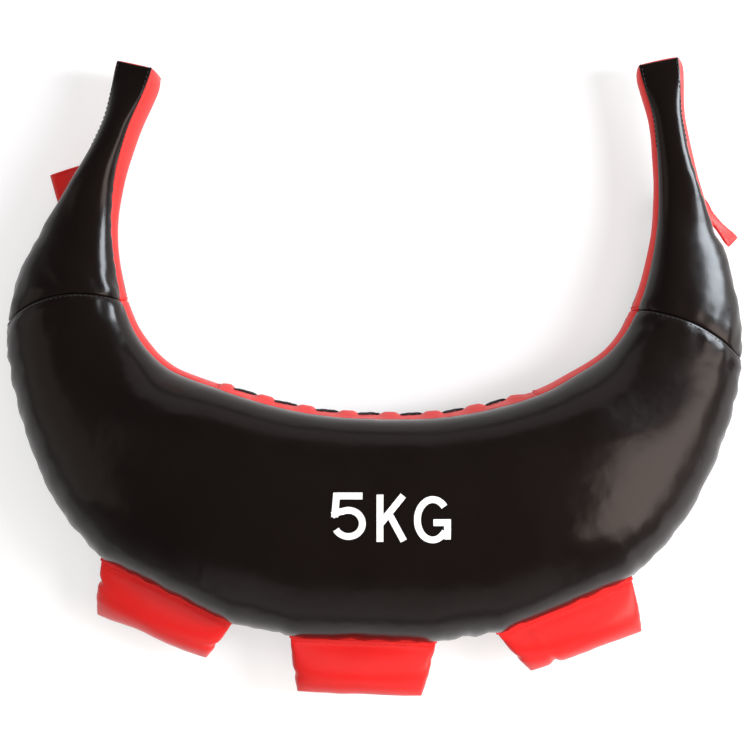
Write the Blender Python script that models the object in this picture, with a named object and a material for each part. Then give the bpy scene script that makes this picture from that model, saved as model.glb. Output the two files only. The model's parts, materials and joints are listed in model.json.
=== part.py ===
# Crescent training bag: a stuffed horseshoe of sewn panels with a laced mouth on its inner edge,
# two slim necks to hold, three padded grips on its outer edge and a strap loop behind each neck.
# It lies on its back. The origin is on the floor under the middle of the belly's centre line,
# +X runs to the bag's right arm as seen from above, +Y towards the tips and +Z up.
import functools
import math

import bmesh
import bpy
from mathutils import Matrix, Vector

# Centre line of the bag, walked from the middle of the belly out to each tip
HALF_LENGTH = 0.550
BELLY_RADIUS = 0.355
BELLY_TURN = math.radians(32)
SHOULDER_RADIUS = 0.138
SHOULDER_TURN = {"left": math.radians(58.5), "right": math.radians(51.7)}
NECK_BEND_LENGTH = 0.100
NECK_TURN = {"left": math.radians(21), "right": math.radians(13.8)}
TIP_BEND_LENGTH = 0.056
TIP_TURN = {"left": math.radians(-8), "right": math.radians(3)}
NECK_TWIST = {"left": math.radians(3), "right": math.radians(-8)}

# Cross-section, from the belly to the necks
BELLY_HALF_WIDTH = 0.0918
NECK_HALF_WIDTH = {"left": 0.0138, "right": 0.0145}
TIP_FLARE = 0.005
BELLY_BULGE = 0.053
NECK_BULGE = 0.009
TIP_BULGE = 0.0015
TIP_FLARE_LENGTH = 0.050
BELLY_STRIP_HALF_DEPTH = 0.026
NECK_STRIP_HALF_DEPTH = 0.012
LEFT_TIP_STRIP_GROWTH = 0.007
STRIP_BULGE = 0.0030
NECK_MID_HEIGHT = 0.040
FLOOR_FLATTENING = 0.005
HEIGHT_BLEND = 16
FULLNESS = 2.3
BULGE_POWER = 0.8
TAPER_SHARES = {
    "left": (
        (0.0, 1.0), (0.2, 0.975), (0.35, 0.895), (0.4, 0.795), (0.5, 0.61), (0.6, 0.495),
        (0.7, 0.305), (0.8, 0.09), (0.9, 0.0), (1.0, 0.0),
    ),
    "right": (
        (0.0, 1.0), (0.2, 0.975), (0.32, 0.905), (0.4, 0.785), (0.5, 0.59), (0.6, 0.422),
        (0.7, 0.232), (0.8, 0.06), (0.9, 0.0), (1.0, 0.0),
    ),
}
OFFSET_SHARES = {
    "left": (
        (0.0, 0.0), (0.14, 0.0), (0.35, 0.002), (0.5, -0.07), (0.64, -0.012), (0.85, -0.028),
        (1.0, -0.036),
    ),
    "right": (
        (0.0, 0.0), (0.14, 0.04), (0.31, 0.07), (0.46, -0.04), (0.64, 0.027), (0.85, 0.006), (1.0, 0.0),
    ),
}

# Cover
SKIN = 0.0018
SEAM_GAP = 0.0004
LAYER_GAP = 0.0004
NECK_SEAM_AT = {"left": 0.355, "right": 0.341}
SEAM_RISE = {"left": 0.0048, "right": -0.002}
SEAM_DIP = {"left": 0.0194, "right": 0.028}
SEAM_BOW_REACH = 0.060
OUTER_SEAM_HALF = 0.0002
OUTER_STRIP_GROWS = 0.398
OUTER_STRIP_START = 0.412
OUTER_STRIP_FULL = 0.476

# Laced mouth
MOUTH_HALF = 0.172
MOUTH_GAP = 0.003
LACE_CROSSINGS = 7
LACE_MIDDLE = -0.0067
LACE_END_ROOM = 0.034
LACE_PITCH = 2 * (MOUTH_HALF - LACE_END_ROOM) / (LACE_CROSSINGS - 1)
LACE_RADIUS = 0.0016
LACE_HOLE_RADIUS = 0.0032
LACE_HOLE_OFFSET = 0.009
LACE_CLEARANCE = 0.0007
TONGUE_THICKNESS = 0.0016
TONGUE_HALF_DEPTH = 0.021
TONGUE_END_ROOM = 0.005
MOUTH_FADE = 0.030
LACE_ROUNDING = 0.6
LACE_SINK = 0.25
LACE_PAUSE_SHARE = 0.48
LACE_POINTS = 16

# Filling
SAND_HALF_LENGTH = 0.215
SAND_WIDTH_SHARE = 0.50
SAND_HALF_DEPTH = 0.024
SAND_OFFSET = 0.012
CORE_AT = 0.280

# Padded grips on the outer seam
GRIP_HALF_WIDTH = 0.060
GRIP_END_HALF_WIDTH = 0.052
GRIP_PINCH = 0.002
GRIP_LENGTH = 0.048
GRIP_HALF_THICKNESS = 0.013
GRIP_EDGE = 0.0022
GRIP_AT = {"left": -0.1405, "centre": -0.0077, "right": 0.1255}
GRIP_DROOP = {"left": math.radians(32), "centre": math.radians(14), "right": math.radians(24)}
WELT_RADIUS = 0.0016

# Strap loops behind the necks
STRAP_AT = {"left": 0.459, "right": 0.432}
STRAP_ACROSS_SHARES = {"left": 0.1, "right": 0.5}
STRAP_YAW = {"left": math.radians(24), "right": math.radians(24)}
STRAP_PITCH = {"left": math.radians(-2), "right": math.radians(5)}
STRAP_SWEEP = {"left": 0.010, "right": 0.022}
STRAP_TWIST = {"left": 0.0, "right": math.radians(78)}
STRAP_HALF_WIDTH = 0.0145
STRAP_LENGTH = 0.046
STRAP_HALF_THICKNESS = 0.0030
STRAP_LIFT = {"left": 0.0008, "right": 0.0036}

# Facets
PANEL_STEPS = 10
STRIP_STEPS = 4
MOUTH_ROWS = 10
FLANK_ROWS = 5
SEAM_ROWS = 4
NECK_LOW_ROWS = 3
NECK_HIGH_ROWS = 8
GRIP_ROWS = 10
GRIP_STEPS = 7
STRAP_ROWS = 4
HOLE_SIDES = 12

SIDES = {"left": -1, "right": 1}
UP = Vector((0, 0, 1))


def clear_scene():
    for thing in list(bpy.data.objects):
        bpy.data.objects.remove(thing, do_unlink=True)


def collection(name):
    made = bpy.data.collections.new(name)
    bpy.context.scene.collection.children.link(made)
    return made


def finish(name, colour, roughness, metallic=0.0):
    made = bpy.data.materials.new(name)
    made.use_nodes = True
    shader = made.node_tree.nodes["Principled BSDF"]
    shader.inputs["Base Color"].default_value = (*colour, 1)
    shader.inputs["Roughness"].default_value = roughness
    shader.inputs["Metallic"].default_value = metallic
    return made


def mix(low, high, share):
    return low + (high - low) * share


def ease(value, start, end):
    share = min(max((value - start) / (end - start), 0), 1)
    return share * share * (3 - 2 * share)


def through(table, x):
    """A smooth curve through a table of (place, value), level at its peaks and ends."""
    places = [row[0] for row in table]
    values = [row[1] for row in table]
    slopes = [
        (values[i + 1] - values[i]) / (places[i + 1] - places[i]) for i in range(len(table) - 1)
    ]
    leans = [0.0]
    for before, after in zip(slopes, slopes[1:]):
        level = before * after <= 0
        leans.append(0.0 if level else 2 * before * after / (before + after))
    leans.append(0.0)
    i = max(k for k in range(len(slopes)) if places[k] <= max(x, places[0]))
    width = places[i + 1] - places[i]
    t = min((x - places[i]) / width, 1)
    start = (1 + 2 * t) * (1 - t) ** 2 * values[i] + t * (1 - t) ** 2 * width * leans[i]
    end = t * t * (3 - 2 * t) * values[i + 1] - t * t * (1 - t) * width * leans[i + 1]
    return start + end


def arm_arcs(side):
    """The arm's arcs, each (length, turn), from the middle of the belly to the tip."""
    arcs = [
        (BELLY_RADIUS * BELLY_TURN, BELLY_TURN),
        (SHOULDER_RADIUS * SHOULDER_TURN[side], SHOULDER_TURN[side]),
        (NECK_BEND_LENGTH, NECK_TURN[side]),
        (0.0, 0.0),
        (TIP_BEND_LENGTH, TIP_TURN[side]),
    ]
    arcs[3] = (HALF_LENGTH - sum(length for length, turn in arcs), 0.0)
    return arcs


@functools.lru_cache(maxsize=None)
def centre_line(place):
    """(point, direction along the arm, direction to the outer edge) at a signed place, in plan."""
    side = "left" if place < 0 else "right"
    left_over = abs(place)
    point, heading = Vector((0, 0, 0)), 0.0
    for length, turn in arm_arcs(side):
        step = min(left_over, length)
        turned = turn * step / length if turn else 0.0
        middle = heading + turned / 2
        chord = step * (math.sin(turned / 2) / (turned / 2) if turned else 1)
        point += chord * Vector((math.cos(middle), math.sin(middle), 0))
        heading += turned
        left_over -= step
    along = Vector((math.cos(heading), math.sin(heading), 0))
    out = Vector((math.sin(heading), -math.cos(heading), 0))
    point += out * BELLY_HALF_WIDTH * through(OFFSET_SHARES[side], abs(place) / HALF_LENGTH)
    for v in (point, along, out):
        v.x *= SIDES[side]
        v.freeze()
    return point, along, out


@functools.lru_cache(maxsize=None)
def taper(place):
    """Share of the belly's fullness: one in the middle of the belly and none at the tips."""
    return through(TAPER_SHARES["left" if place < 0 else "right"], abs(place) / HALF_LENGTH)


def tip_share(place):
    return ease(abs(place), HALF_LENGTH - TIP_FLARE_LENGTH, HALF_LENGTH)


def half_width(place):
    flare = TIP_FLARE * tip_share(place)
    neck = NECK_HALF_WIDTH["left" if place < 0 else "right"]
    return mix(neck, BELLY_HALF_WIDTH, taper(place)) + flare


def grip_seam_ends(which):
    """The two ends, in plan, of the straight stretch of outer seam that a grip is sewn to."""
    middle = GRIP_AT[which]
    reach = GRIP_HALF_WIDTH * BELLY_RADIUS / (BELLY_RADIUS + BELLY_HALF_WIDTH)
    ends = []
    for place in (middle - reach, middle + reach):
        point, along, out = centre_line(place)
        ends.append((place, point + out * half_width(place)))
    return ends


def outer_reach(place):
    """How far out the outer seam lies: it runs straight where a grip is sewn on."""
    natural = half_width(place)
    for which in GRIP_AT:
        (first, a), (last, b) = grip_seam_ends(which)
        if first < place < last:
            point, along, out = centre_line(place)
            square = Vector((a.y - b.y, b.x - a.x, 0))
            natural = (a - point).dot(square) / out.dot(square)
    return natural


def strip_depth(place):
    """Half depth of the inner strip, which widens again towards the left tip."""
    depth = mix(NECK_STRIP_HALF_DEPTH, BELLY_STRIP_HALF_DEPTH, taper(place))
    if place < 0:
        depth += LEFT_TIP_STRIP_GROWTH * ease(-place, OUTER_STRIP_START, OUTER_STRIP_FULL)
    return depth


def outer_strip_depth(place):
    share = ease(abs(place), OUTER_STRIP_GROWS, OUTER_STRIP_FULL)
    return mix(OUTER_SEAM_HALF, NECK_STRIP_HALF_DEPTH, share)


def bulge(place):
    full = mix(NECK_BULGE, BELLY_BULGE, taper(place) ** BULGE_POWER)
    return mix(full, TIP_BULGE, tip_share(place))


def mid_height(place):
    """Height of the seam plane: the back is pressed a little flat, and the necks stay level."""
    depth = (strip_depth(place) + outer_strip_depth(place)) / 2 + bulge(place)
    pressed = depth - FLOOR_FLATTENING
    return (pressed**HEIGHT_BLEND + NECK_MID_HEIGHT**HEIGHT_BLEND) ** (1 / HEIGHT_BLEND)


def strip_side(half_depth, swell, seam):
    """A strip's bowed line from its front seam to its back seam, in (across, up)."""
    shares = [1 - 2 * k / STRIP_STEPS for k in range(STRIP_STEPS + 1)]
    return [Vector((seam + swell * (1 - share**2), half_depth * share)) for share in shares]


def lean_share(k):
    """How far across a panel its facet corner k lies, closer together at the seams."""
    lean = math.cos(math.pi * k / PANEL_STEPS)
    return (1 - math.copysign(abs(lean) ** (2 / FULLNESS), lean)) / 2


def face_side(inner, outer, rise):
    """A panel's bulging line from the inner seam to the outer seam, in (across, up)."""
    line = []
    for k in range(PANEL_STEPS + 1):
        lift = rise * max(math.sin(math.pi * k / PANEL_STEPS), 0) ** (2 / FULLNESS)
        line.append(inner.lerp(outer, lean_share(k)) + Vector((0, lift)))
    return line


@functools.lru_cache(maxsize=None)
def section(place, inset=0.0):
    """The cover's section, or a layer's inset from it, as lines of (across, up) round the ring."""
    inner_depth = strip_depth(place) - inset
    full_outer = outer_strip_depth(place)
    outer_depth = max(full_outer - inset, OUTER_SEAM_HALF)
    outer_swell = STRIP_BULGE * full_outer / NECK_STRIP_HALF_DEPTH
    inner_seam = half_width(place) - inset - STRIP_BULGE
    outer_seam = outer_reach(place) - inset - outer_swell
    rise = bulge(place) - (inset - full_outer + outer_depth) / 2
    inner_corner, outer_corner = Vector((-inner_seam, inner_depth)), Vector((outer_seam, outer_depth))
    front = face_side(inner_corner, outer_corner, rise)
    inner = strip_side(inner_depth, STRIP_BULGE, inner_seam)
    return {
        "front": front,
        "outer": strip_side(outer_depth, outer_swell, outer_seam),
        "back": [Vector((p.x, -p.y)) for p in reversed(front)],
        "inner": [-p for p in inner],
    }


def bowed(place, share):
    """A place shifted so that the neck seam dips towards the belly at its outer end."""
    side = "left" if place < 0 else "right"
    near = 1 - ease(abs(abs(place) - NECK_SEAM_AT[side]), 0, SEAM_BOW_REACH)
    bow = 4 * SEAM_RISE[side] * share * (1 - share) - SEAM_DIP[side] * share**2
    return place + math.copysign(near * bow, place)


def ring_shares(name):
    """How far across from the inner seam each point of a section's line lies."""
    leans = [lean_share(k) for k in range(PANEL_STEPS + 1)]
    flat = [0.0] * (STRIP_STEPS + 1)
    return {"front": leans, "back": leans[::-1], "inner": flat, "outer": [1.0 for v in flat]}[name]


def placed(place, across, up, floor=0.0):
    """World point of (across, up) in the section at place, never under floor."""
    point, along, out = centre_line(place)
    side = "left" if place < 0 else "right"
    twist = NECK_TWIST[side] * ease(abs(place), OUTER_STRIP_START, HALF_LENGTH)
    turned_across = across * math.cos(twist) + up * math.sin(twist)
    turned_up = up * math.cos(twist) - across * math.sin(twist)
    height = max(mid_height(place) + turned_up, floor)
    return point + out * turned_across + UP * height


def skin_line(place, name, inset=0.0, mouth=0.0):
    """World points of one line of the section, its places bowed as the neck seam is."""
    line = []
    for k, share in enumerate(ring_shares(name)):
        spot = bowed(place, share)
        spot = math.copysign(min(abs(spot), HALF_LENGTH - inset), spot)
        point = section(spot, inset)[name][k]
        nearest = -half_width(spot) + inset + mouth if mouth else point.x
        line.append(placed(spot, max(point.x, nearest), point.y, inset))
    return line


def steps_between(start, end, count):
    return [mix(start, end, k / count) for k in range(count + 1)]


def belly_arm_places(side):
    arm = steps_between(0, MOUTH_HALF, MOUTH_ROWS)
    arm += steps_between(MOUTH_HALF, CORE_AT, FLANK_ROWS)[1:]
    arm += steps_between(CORE_AT, NECK_SEAM_AT[side], SEAM_ROWS)[1:]
    return [SIDES[side] * p for p in arm]


def belly_places():
    return sorted(belly_arm_places("left")[1:] + belly_arm_places("right"))


def neck_places(side):
    low = steps_between(NECK_SEAM_AT[side], OUTER_STRIP_START, NECK_LOW_ROWS)
    high = steps_between(OUTER_STRIP_START, HALF_LENGTH, NECK_HIGH_ROWS)[1:]
    return sorted(SIDES[side] * p for p in low + high)


def trimmed(rows, gap=SEAM_GAP):
    """A grid of points with its border drawn in by half the seam's gap on all four sides."""
    def pull(edge, nearby):
        moved = []
        for point, towards in zip(edge, nearby):
            way = towards - point
            moved.append(point + way * min(gap / 2 / way.length, 0.4))
        return moved

    rows = [pull(rows[0], rows[1]), *rows[1:-1], pull(rows[-1], rows[-2])]
    columns = list(zip(*rows))
    columns = [pull(columns[0], columns[1]), *columns[1:-1], pull(columns[-1], columns[-2])]
    return [list(row) for row in zip(*columns)]


def as_object(name, mesh_maker, material, group):
    mesh = bpy.data.meshes.new(name)
    bm = bmesh.new()
    mesh_maker(bm)
    bmesh.ops.recalc_face_normals(bm, faces=bm.faces)
    bm.to_mesh(mesh)
    bm.free()
    if signed_volume(mesh) < 0:
        mesh.flip_normals()
    mesh.materials.append(material)
    thing = bpy.data.objects.new(name, mesh)
    group.objects.link(thing)
    mesh.shade_smooth()
    mesh.set_sharp_from_angle(angle=math.radians(40))
    return thing


def signed_volume(mesh):
    mesh.calc_loop_triangles()
    total = 0.0
    for triangle in mesh.loop_triangles:
        a, b, c = (mesh.vertices[i].co for i in triangle.vertices)
        total += a.dot(b.cross(c))
    return total


def facets(bm, a, b, c, d):
    """Two triangles, split the same way in every layer so that the layers nest."""
    bm.faces.new((a, b, c))
    bm.faces.new((a, c, d))


def skin_of(outer, inner):
    """Makes a closed sheet from two grids of points, the outer face and the inner face."""
    def make(bm):
        tops = [[bm.verts.new(p) for p in row] for row in outer]
        unders = [[bm.verts.new(p) for p in row] for row in inner]
        rows, columns = len(outer), len(outer[0])
        for grid in (tops, unders):
            for i in range(rows - 1):
                for j in range(columns - 1):
                    facets(bm, grid[i][j], grid[i][j + 1], grid[i + 1][j + 1], grid[i + 1][j])
        border = [(0, j) for j in range(columns)] + [(i, columns - 1) for i in range(1, rows)]
        border += [(rows - 1, j) for j in range(columns - 2, -1, -1)]
        border += [(i, 0) for i in range(rows - 2, 0, -1)]
        for (a, b), (c, d) in zip(border, border[1:] + border[:1]):
            facets(bm, tops[a][b], tops[c][d], unders[c][d], unders[a][b])

    return make


def loft_of(rings, turn_last=False):
    """Makes a closed solid from rings of points, with a fan on each end."""
    def make(bm):
        loops = [[bm.verts.new(p) for p in ring] for ring in rings]
        count = len(rings[0])
        for first, second in zip(loops, loops[1:]):
            for j in range(count):
                k = (j + 1) % count
                corners = (first[j], first[k], second[k], second[j])
                if turn_last and k == 0:
                    corners = corners[1:] + corners[:1]
                facets(bm, *corners)
        for loop, ring in ((loops[0], rings[0]), (loops[-1], rings[-1])):
            middle = bm.verts.new(sum(ring, Vector((0, 0, 0))) / count)
            for j in range(count):
                bm.faces.new((loop[j], loop[(j + 1) % count], middle))

    return make


def cover_panel(name, places, side_name, material, group):
    outer = [skin_line(p, side_name) for p in places]
    inner = [skin_line(p, side_name, SKIN) for p in places]
    return as_object(name, skin_of(trimmed(outer), trimmed(inner)), material, group)


def neck_strip(side, material, group):
    """One strip up the neck's inner side, over its tip and down its outer side."""
    upwards = sorted(neck_places(side), key=abs)
    tip = upwards[-1]
    outer_places = [p for p in upwards if abs(p) > OUTER_STRIP_START - SEAM_GAP]
    layers = []
    for inset in (0.0, SKIN):
        rows = [skin_line(p, "inner", inset)[::-1] for p in upwards]
        front, back = skin_line(tip, "front", inset), skin_line(tip, "back", inset)[::-1]
        for before, after in list(zip(front, back))[1:-1]:
            rows.append([before.lerp(after, k / STRIP_STEPS) for k in range(STRIP_STEPS + 1)])
        rows += [skin_line(p, "outer", inset) for p in reversed(outer_places)]
        layers.append(trimmed(rows if side == "right" else rows[::-1]))
    return as_object(f"{side}_neck_strip", skin_of(*layers), material, group)


def mouth_line(place, front, inset):
    """A lacing flap's row, from its seam to its edge at the mouth."""
    line = skin_line(place, "inner", inset)
    line = line[::-1] if front else line
    half = line[: STRIP_STEPS // 2 + 1]
    half[-1] = half[-1] + (half[-2] - half[-1]).normalized() * MOUTH_GAP / 2
    return half


def strip_frame(place, up):
    """(point, outward normal) on the inner strip's outer face, up from the seam plane."""
    depth = strip_depth(place)
    across = -half_width(place) + STRIP_BULGE * (up / depth) ** 2
    lean = 2 * STRIP_BULGE * up / depth**2
    out = centre_line(place)[2]
    normal = (lean * UP - out).normalized()
    return placed(place, across, up), normal


def lace_places():
    first = LACE_MIDDLE - LACE_PITCH * (LACE_CROSSINGS - 1) / 2
    return [first + k * LACE_PITCH for k in range(LACE_CROSSINGS)]


def lacing_flap(name, front, material, group, cutters):
    places = [p for p in belly_places() if abs(p) <= MOUTH_HALF + SEAM_GAP]
    layers = [trimmed([mouth_line(p, front, inset) for p in places]) for inset in (0.0, SKIN)]
    flap = as_object(name, skin_of(*layers), material, group)
    holes = bmesh.new()
    shift = -LACE_PITCH / 4 if front else LACE_PITCH / 4
    up = LACE_HOLE_OFFSET if front else -LACE_HOLE_OFFSET
    for place in lace_places():
        point, normal = strip_frame(place + shift, up)
        turn = normal.to_track_quat("Z", "Y").to_matrix().to_4x4()
        bmesh.ops.create_cone(
            holes, cap_ends=True, segments=HOLE_SIDES, radius1=LACE_HOLE_RADIUS,
            radius2=LACE_HOLE_RADIUS, depth=4 * SKIN, matrix=Matrix.Translation(point) @ turn,
        )
    mesh = bpy.data.meshes.new(f"{name}_holes")
    holes.to_mesh(mesh)
    holes.free()
    cutter = bpy.data.objects.new(f"{name}_holes", mesh)
    cutters.objects.link(cutter)
    cutter.hide_render = True
    cutter.display_type = "WIRE"
    cut = flap.modifiers.new("lace_holes", "BOOLEAN")
    cut.operation = "DIFFERENCE"
    cut.object = cutter
    return flap


def lace_levels():
    """Heights of the lace's middle over the flap's outer face, outside and inside the bag."""
    outside = LACE_RADIUS + LACE_CLEARANCE
    inside = -(SKIN + LACE_RADIUS + LACE_CLEARANCE)
    return outside, inside


def lace_route():
    """A whip lacing: over the mouth on a slant, in by a hole, back under it and out again."""
    outside, inside = lace_levels()
    middle, rise = (outside + inside) / 2, (outside - inside) / 2
    start = lace_places()[0] - LACE_PITCH / 4
    turns = LACE_CROSSINGS
    points = []
    for k in range(turns * LACE_POINTS + 1):
        angle = 2 * math.pi * k / LACE_POINTS - math.pi / 2
        swing, level = math.cos(angle), math.sin(angle)
        up = LACE_HOLE_OFFSET * math.copysign(abs(swing) ** LACE_ROUNDING, swing)
        lift = middle + rise * math.copysign(abs(level) ** LACE_SINK, level)
        share = (angle - LACE_PAUSE_SHARE * math.sin(2 * angle)) / (2 * math.pi)
        point, normal = strip_frame(start + LACE_PITCH * share, up)
        points.append(point + normal * lift)
    return points


def tube(name, points, radius, resolution, material, group):
    curve = bpy.data.curves.new(name, "CURVE")
    curve.dimensions = "3D"
    curve.bevel_depth = radius
    curve.bevel_resolution = resolution
    curve.use_fill_caps = True
    line = curve.splines.new("POLY")
    line.points.add(len(points) - 1)
    for spot, point in zip(line.points, points):
        spot.co = (*point, 1)
    line.use_smooth = True
    curve.materials.append(material)
    thing = bpy.data.objects.new(name, curve)
    group.objects.link(thing)
    return thing


def tongue(material, group):
    inside = lace_levels()[1]
    top = LACE_RADIUS + LACE_CLEARANCE - inside
    layers = []
    for drop in (top, top + TONGUE_THICKNESS):
        rows = []
        reach = MOUTH_HALF - TONGUE_END_ROOM
        for place in steps_between(-reach, reach, 2 * MOUTH_ROWS):
            ups = steps_between(TONGUE_HALF_DEPTH, -TONGUE_HALF_DEPTH, STRIP_STEPS)
            rows.append([placed(place, drop - half_width(place), up) for up in ups])
        layers.append(rows)
    return as_object("lacing_tongue", skin_of(*layers), material, group)


def mouth_room(place):
    """How much further in the filling starts under the laced mouth, for the lace and tongue."""
    room = 2 * (LACE_RADIUS + LACE_CLEARANCE) + LACE_CLEARANCE + TONGUE_THICKNESS + LAYER_GAP
    return room * (1 - ease(abs(place), MOUTH_HALF, MOUTH_HALF + MOUTH_FADE))


def wadding(name, front, material, group, sand_cutter):
    """Half of the belly's stuffing, front or back, with a bed for the sand tube."""
    rings = []
    inset = SKIN + LAYER_GAP
    level = LAYER_GAP / 2 if front else -LAYER_GAP / 2
    for place in (p for p in belly_places() if abs(p) < CORE_AT + LAYER_GAP):
        held = math.copysign(min(abs(place), CORE_AT - LAYER_GAP / 2), place)
        line = skin_line(held, "front" if front else "back", inset, mouth_room(place))
        inner, outer = (line[0], line[-1]) if front else (line[-1], line[0])
        cuts = [Vector((p.x, p.y, mid_height(held) + level)) for p in (inner, outer)]
        ring = [cuts[0], *line[:-1], cuts[1]] if front else [cuts[1], *line[1:], cuts[0]]
        rings.append(ring)
    made = as_object(name, loft_of(rings, not front), material, group)
    cut = made.modifiers.new("sand_bed", "BOOLEAN")
    cut.operation = "DIFFERENCE"
    cut.object = sand_cutter
    return made


def sand_rings(grown):
    rings = []
    count = 2 * MOUTH_ROWS
    for k in range(count + 1):
        share = k / count * 2 - 1
        place = share * (SAND_HALF_LENGTH + grown)
        end = max(1 - share**6, 0.0) ** 0.5 * 0.75 + 0.25
        across = SAND_WIDTH_SHARE * half_width(place) * end + grown
        depth = SAND_HALF_DEPTH * end + grown
        ring = []
        for j in range(12):
            angle = 2 * math.pi * j / 12
            ring.append(placed(place, SAND_OFFSET + across * math.cos(angle), depth * math.sin(angle)))
        rings.append(ring)
    return rings


def neck_core(side, material, group):
    rings = []
    inset = SKIN + LAYER_GAP
    low = [SIDES[side] * p for p in steps_between(CORE_AT, NECK_SEAM_AT[side], SEAM_ROWS)[:-1]]
    for place in sorted(low + neck_places(side)):
        held = math.copysign(max(abs(place), CORE_AT + LAYER_GAP / 2), place)
        lines = {name: skin_line(held, name, inset) for name in ("front", "outer", "back", "inner")}
        rings.append(lines["front"] + lines["outer"][1:-1] + lines["back"] + lines["inner"][1:-1])
    return as_object(f"{side}_neck_core", loft_of(rings), material, group)


def folded_sheet(length, start, base, end, pinch, thickness, edge, rows, steps, inset, side_soft,
                 twist=0.0, sweep=0.0):
    """A sheet folded double: a grid from one end over the fold to the other, in local (u, r, h)."""
    grid = []
    for i in range(rows + 1):
        q = 2 * i / rows - 1
        fullness = (1 - abs(q) ** 4) ** 0.6 if side_soft else 1.0
        row = []
        for k in range(2 * steps + 1):
            v = 1 - abs(k - steps) / steps
            sign = 1 if k <= steps else -1
            reach = mix(start, length - inset, v)
            wide = mix(base, end, v) - pinch * math.sin(math.pi * v)
            fold = math.sin(math.pi * min(v, 1) ** 1.15) ** 0.7 if 0 < v < 1 else 0.0
            half = edge + (thickness - edge) * fullness * fold - inset
            half = 0.0 if k == steps else sign * half
            angle = twist * ease(v, 0.4, 1.0)
            u = q * wide
            shift = sweep * v * v
            row.append(Vector((u * math.cos(angle) - half * math.sin(angle) + shift, reach,
                               u * math.sin(angle) + half * math.cos(angle))))
        grid.append(row)
    return grid


def grip_frame(which):
    """(hinge point, outward, upward) of a grip at its droop: it hinges on the outer seam."""
    ends = [point + UP * mid_height(place) for place, point in grip_seam_ends(which)]
    width = (ends[0] - ends[1]).normalized()
    out = UP.cross(width).normalized()
    hinge = (ends[0] + ends[1]) / 2 + out * (WELT_RADIUS + LAYER_GAP)
    droop = Matrix.Rotation(-GRIP_DROOP[which], 3, width)
    return hinge, droop @ out, droop @ width.cross(out)


def frame_of(outward, upward):
    """Rotation whose columns are the width, outward and upward directions of a folded piece."""
    width = outward.cross(upward)
    return Matrix((width, outward, upward)).transposed().to_4x4()


def grip(which, cover_material, foam_material, welt_material, group):
    hinge, outward, upward = grip_frame(which)
    frame = frame_of(outward, upward)
    start = WELT_RADIUS + LAYER_GAP
    sizes = (GRIP_LENGTH, start, GRIP_HALF_WIDTH, GRIP_END_HALF_WIDTH, GRIP_PINCH,
             GRIP_HALF_THICKNESS, GRIP_EDGE, GRIP_ROWS, GRIP_STEPS)
    outer = folded_sheet(*sizes, 0.0, True)
    inner = folded_sheet(*sizes, SKIN, True)
    cover = as_object(f"{which}_grip_cover", skin_of(outer, inner), cover_material, group)
    cover.data.transform(frame)
    cover.location = hinge
    foam_grid = folded_sheet(*sizes, SKIN + LAYER_GAP / 2, True)
    rings = [row[1:-1] for row in foam_grid[1:-1]]
    foam = as_object(f"{which}_grip_foam", loft_of(rings), foam_material, group)
    foam.data.transform(frame)
    foam.location = hinge
    width = outward.cross(upward)
    ends = [hinge + width * x for x in steps_between(-GRIP_HALF_WIDTH, GRIP_HALF_WIDTH, 6)]
    tube(f"{which}_grip_welt", ends, WELT_RADIUS, 2, welt_material, group)


def neck_back_point(place, share):
    """World point on the neck's back face, share of the half width out from its middle."""
    line = section(place)["back"]
    across = share * half_width(place)
    k = next(k for k in range(1, len(line)) if line[k].x <= across)
    along_line = (across - line[k].x) / (line[k - 1].x - line[k].x)
    return placed(place, *line[k].lerp(line[k - 1], along_line))


def strap_frame(side):
    """(hinge point, outward, upward) of the strap loop behind a neck."""
    place = SIDES[side] * STRAP_AT[side]
    reach = SIDES[side] * STRAP_HALF_WIDTH
    share = STRAP_ACROSS_SHARES[side]
    ends = [neck_back_point(place + step, share) for step in (-reach, reach)]
    middle = neck_back_point(place, share)
    width = (ends[1] - ends[0]).normalized() * -SIDES[side]
    out = UP.cross(width).normalized()
    under = width.cross(out)
    turn = Matrix.Rotation(-SIDES[side] * STRAP_YAW[side], 3, under)
    pitch = Matrix.Rotation(STRAP_PITCH[side], 3, turn @ width)
    lowest = min((p - middle).dot(under) for p in (*ends, middle))
    hinge = middle + under * (lowest - WELT_RADIUS - STRAP_LIFT[side])
    return hinge, pitch @ turn @ out, pitch @ under


def strap(side, material, group):
    hinge, outward, upward = strap_frame(side)
    frame = frame_of(outward, upward)
    start = WELT_RADIUS + LAYER_GAP
    edge = SKIN + LAYER_GAP / 2
    layers = [
        folded_sheet(STRAP_LENGTH, start, STRAP_HALF_WIDTH, STRAP_HALF_WIDTH, 0.0, STRAP_HALF_THICKNESS,
                     edge, STRAP_ROWS, GRIP_STEPS, inset, False, STRAP_TWIST[side], SIDES[side] * STRAP_SWEEP[side])
        for inset in (0.0, SKIN)
    ]
    made = as_object(f"{side}_neck_strap", skin_of(*layers), material, group)
    made.data.transform(frame)
    made.location = hinge
    width = outward.cross(upward)
    ends = [hinge - width * STRAP_HALF_WIDTH, hinge + width * STRAP_HALF_WIDTH]
    tube(f"{side}_strap_welt", ends, WELT_RADIUS, 2, material, group)


def black_cover():
    """Coated cloth of the panels, glossy."""
    return finish("black_cover", (0.012, 0.010, 0.010), 0.28)


def red_cover():
    """Coated cloth of the strips, grips and straps, less glossy."""
    return finish("red_cover", (0.75, 0.035, 0.030), 0.38)


def lace_cord():
    return finish("lace_cord", (0.010, 0.010, 0.010), 0.85)


def sand_sack():
    return finish("sand_sack", (0.55, 0.50, 0.40), 0.9)


def textile_wadding():
    return finish("textile_wadding", (0.42, 0.42, 0.44), 0.95)


def grip_foam():
    return finish("grip_foam", (0.80, 0.78, 0.70), 0.9)


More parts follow.
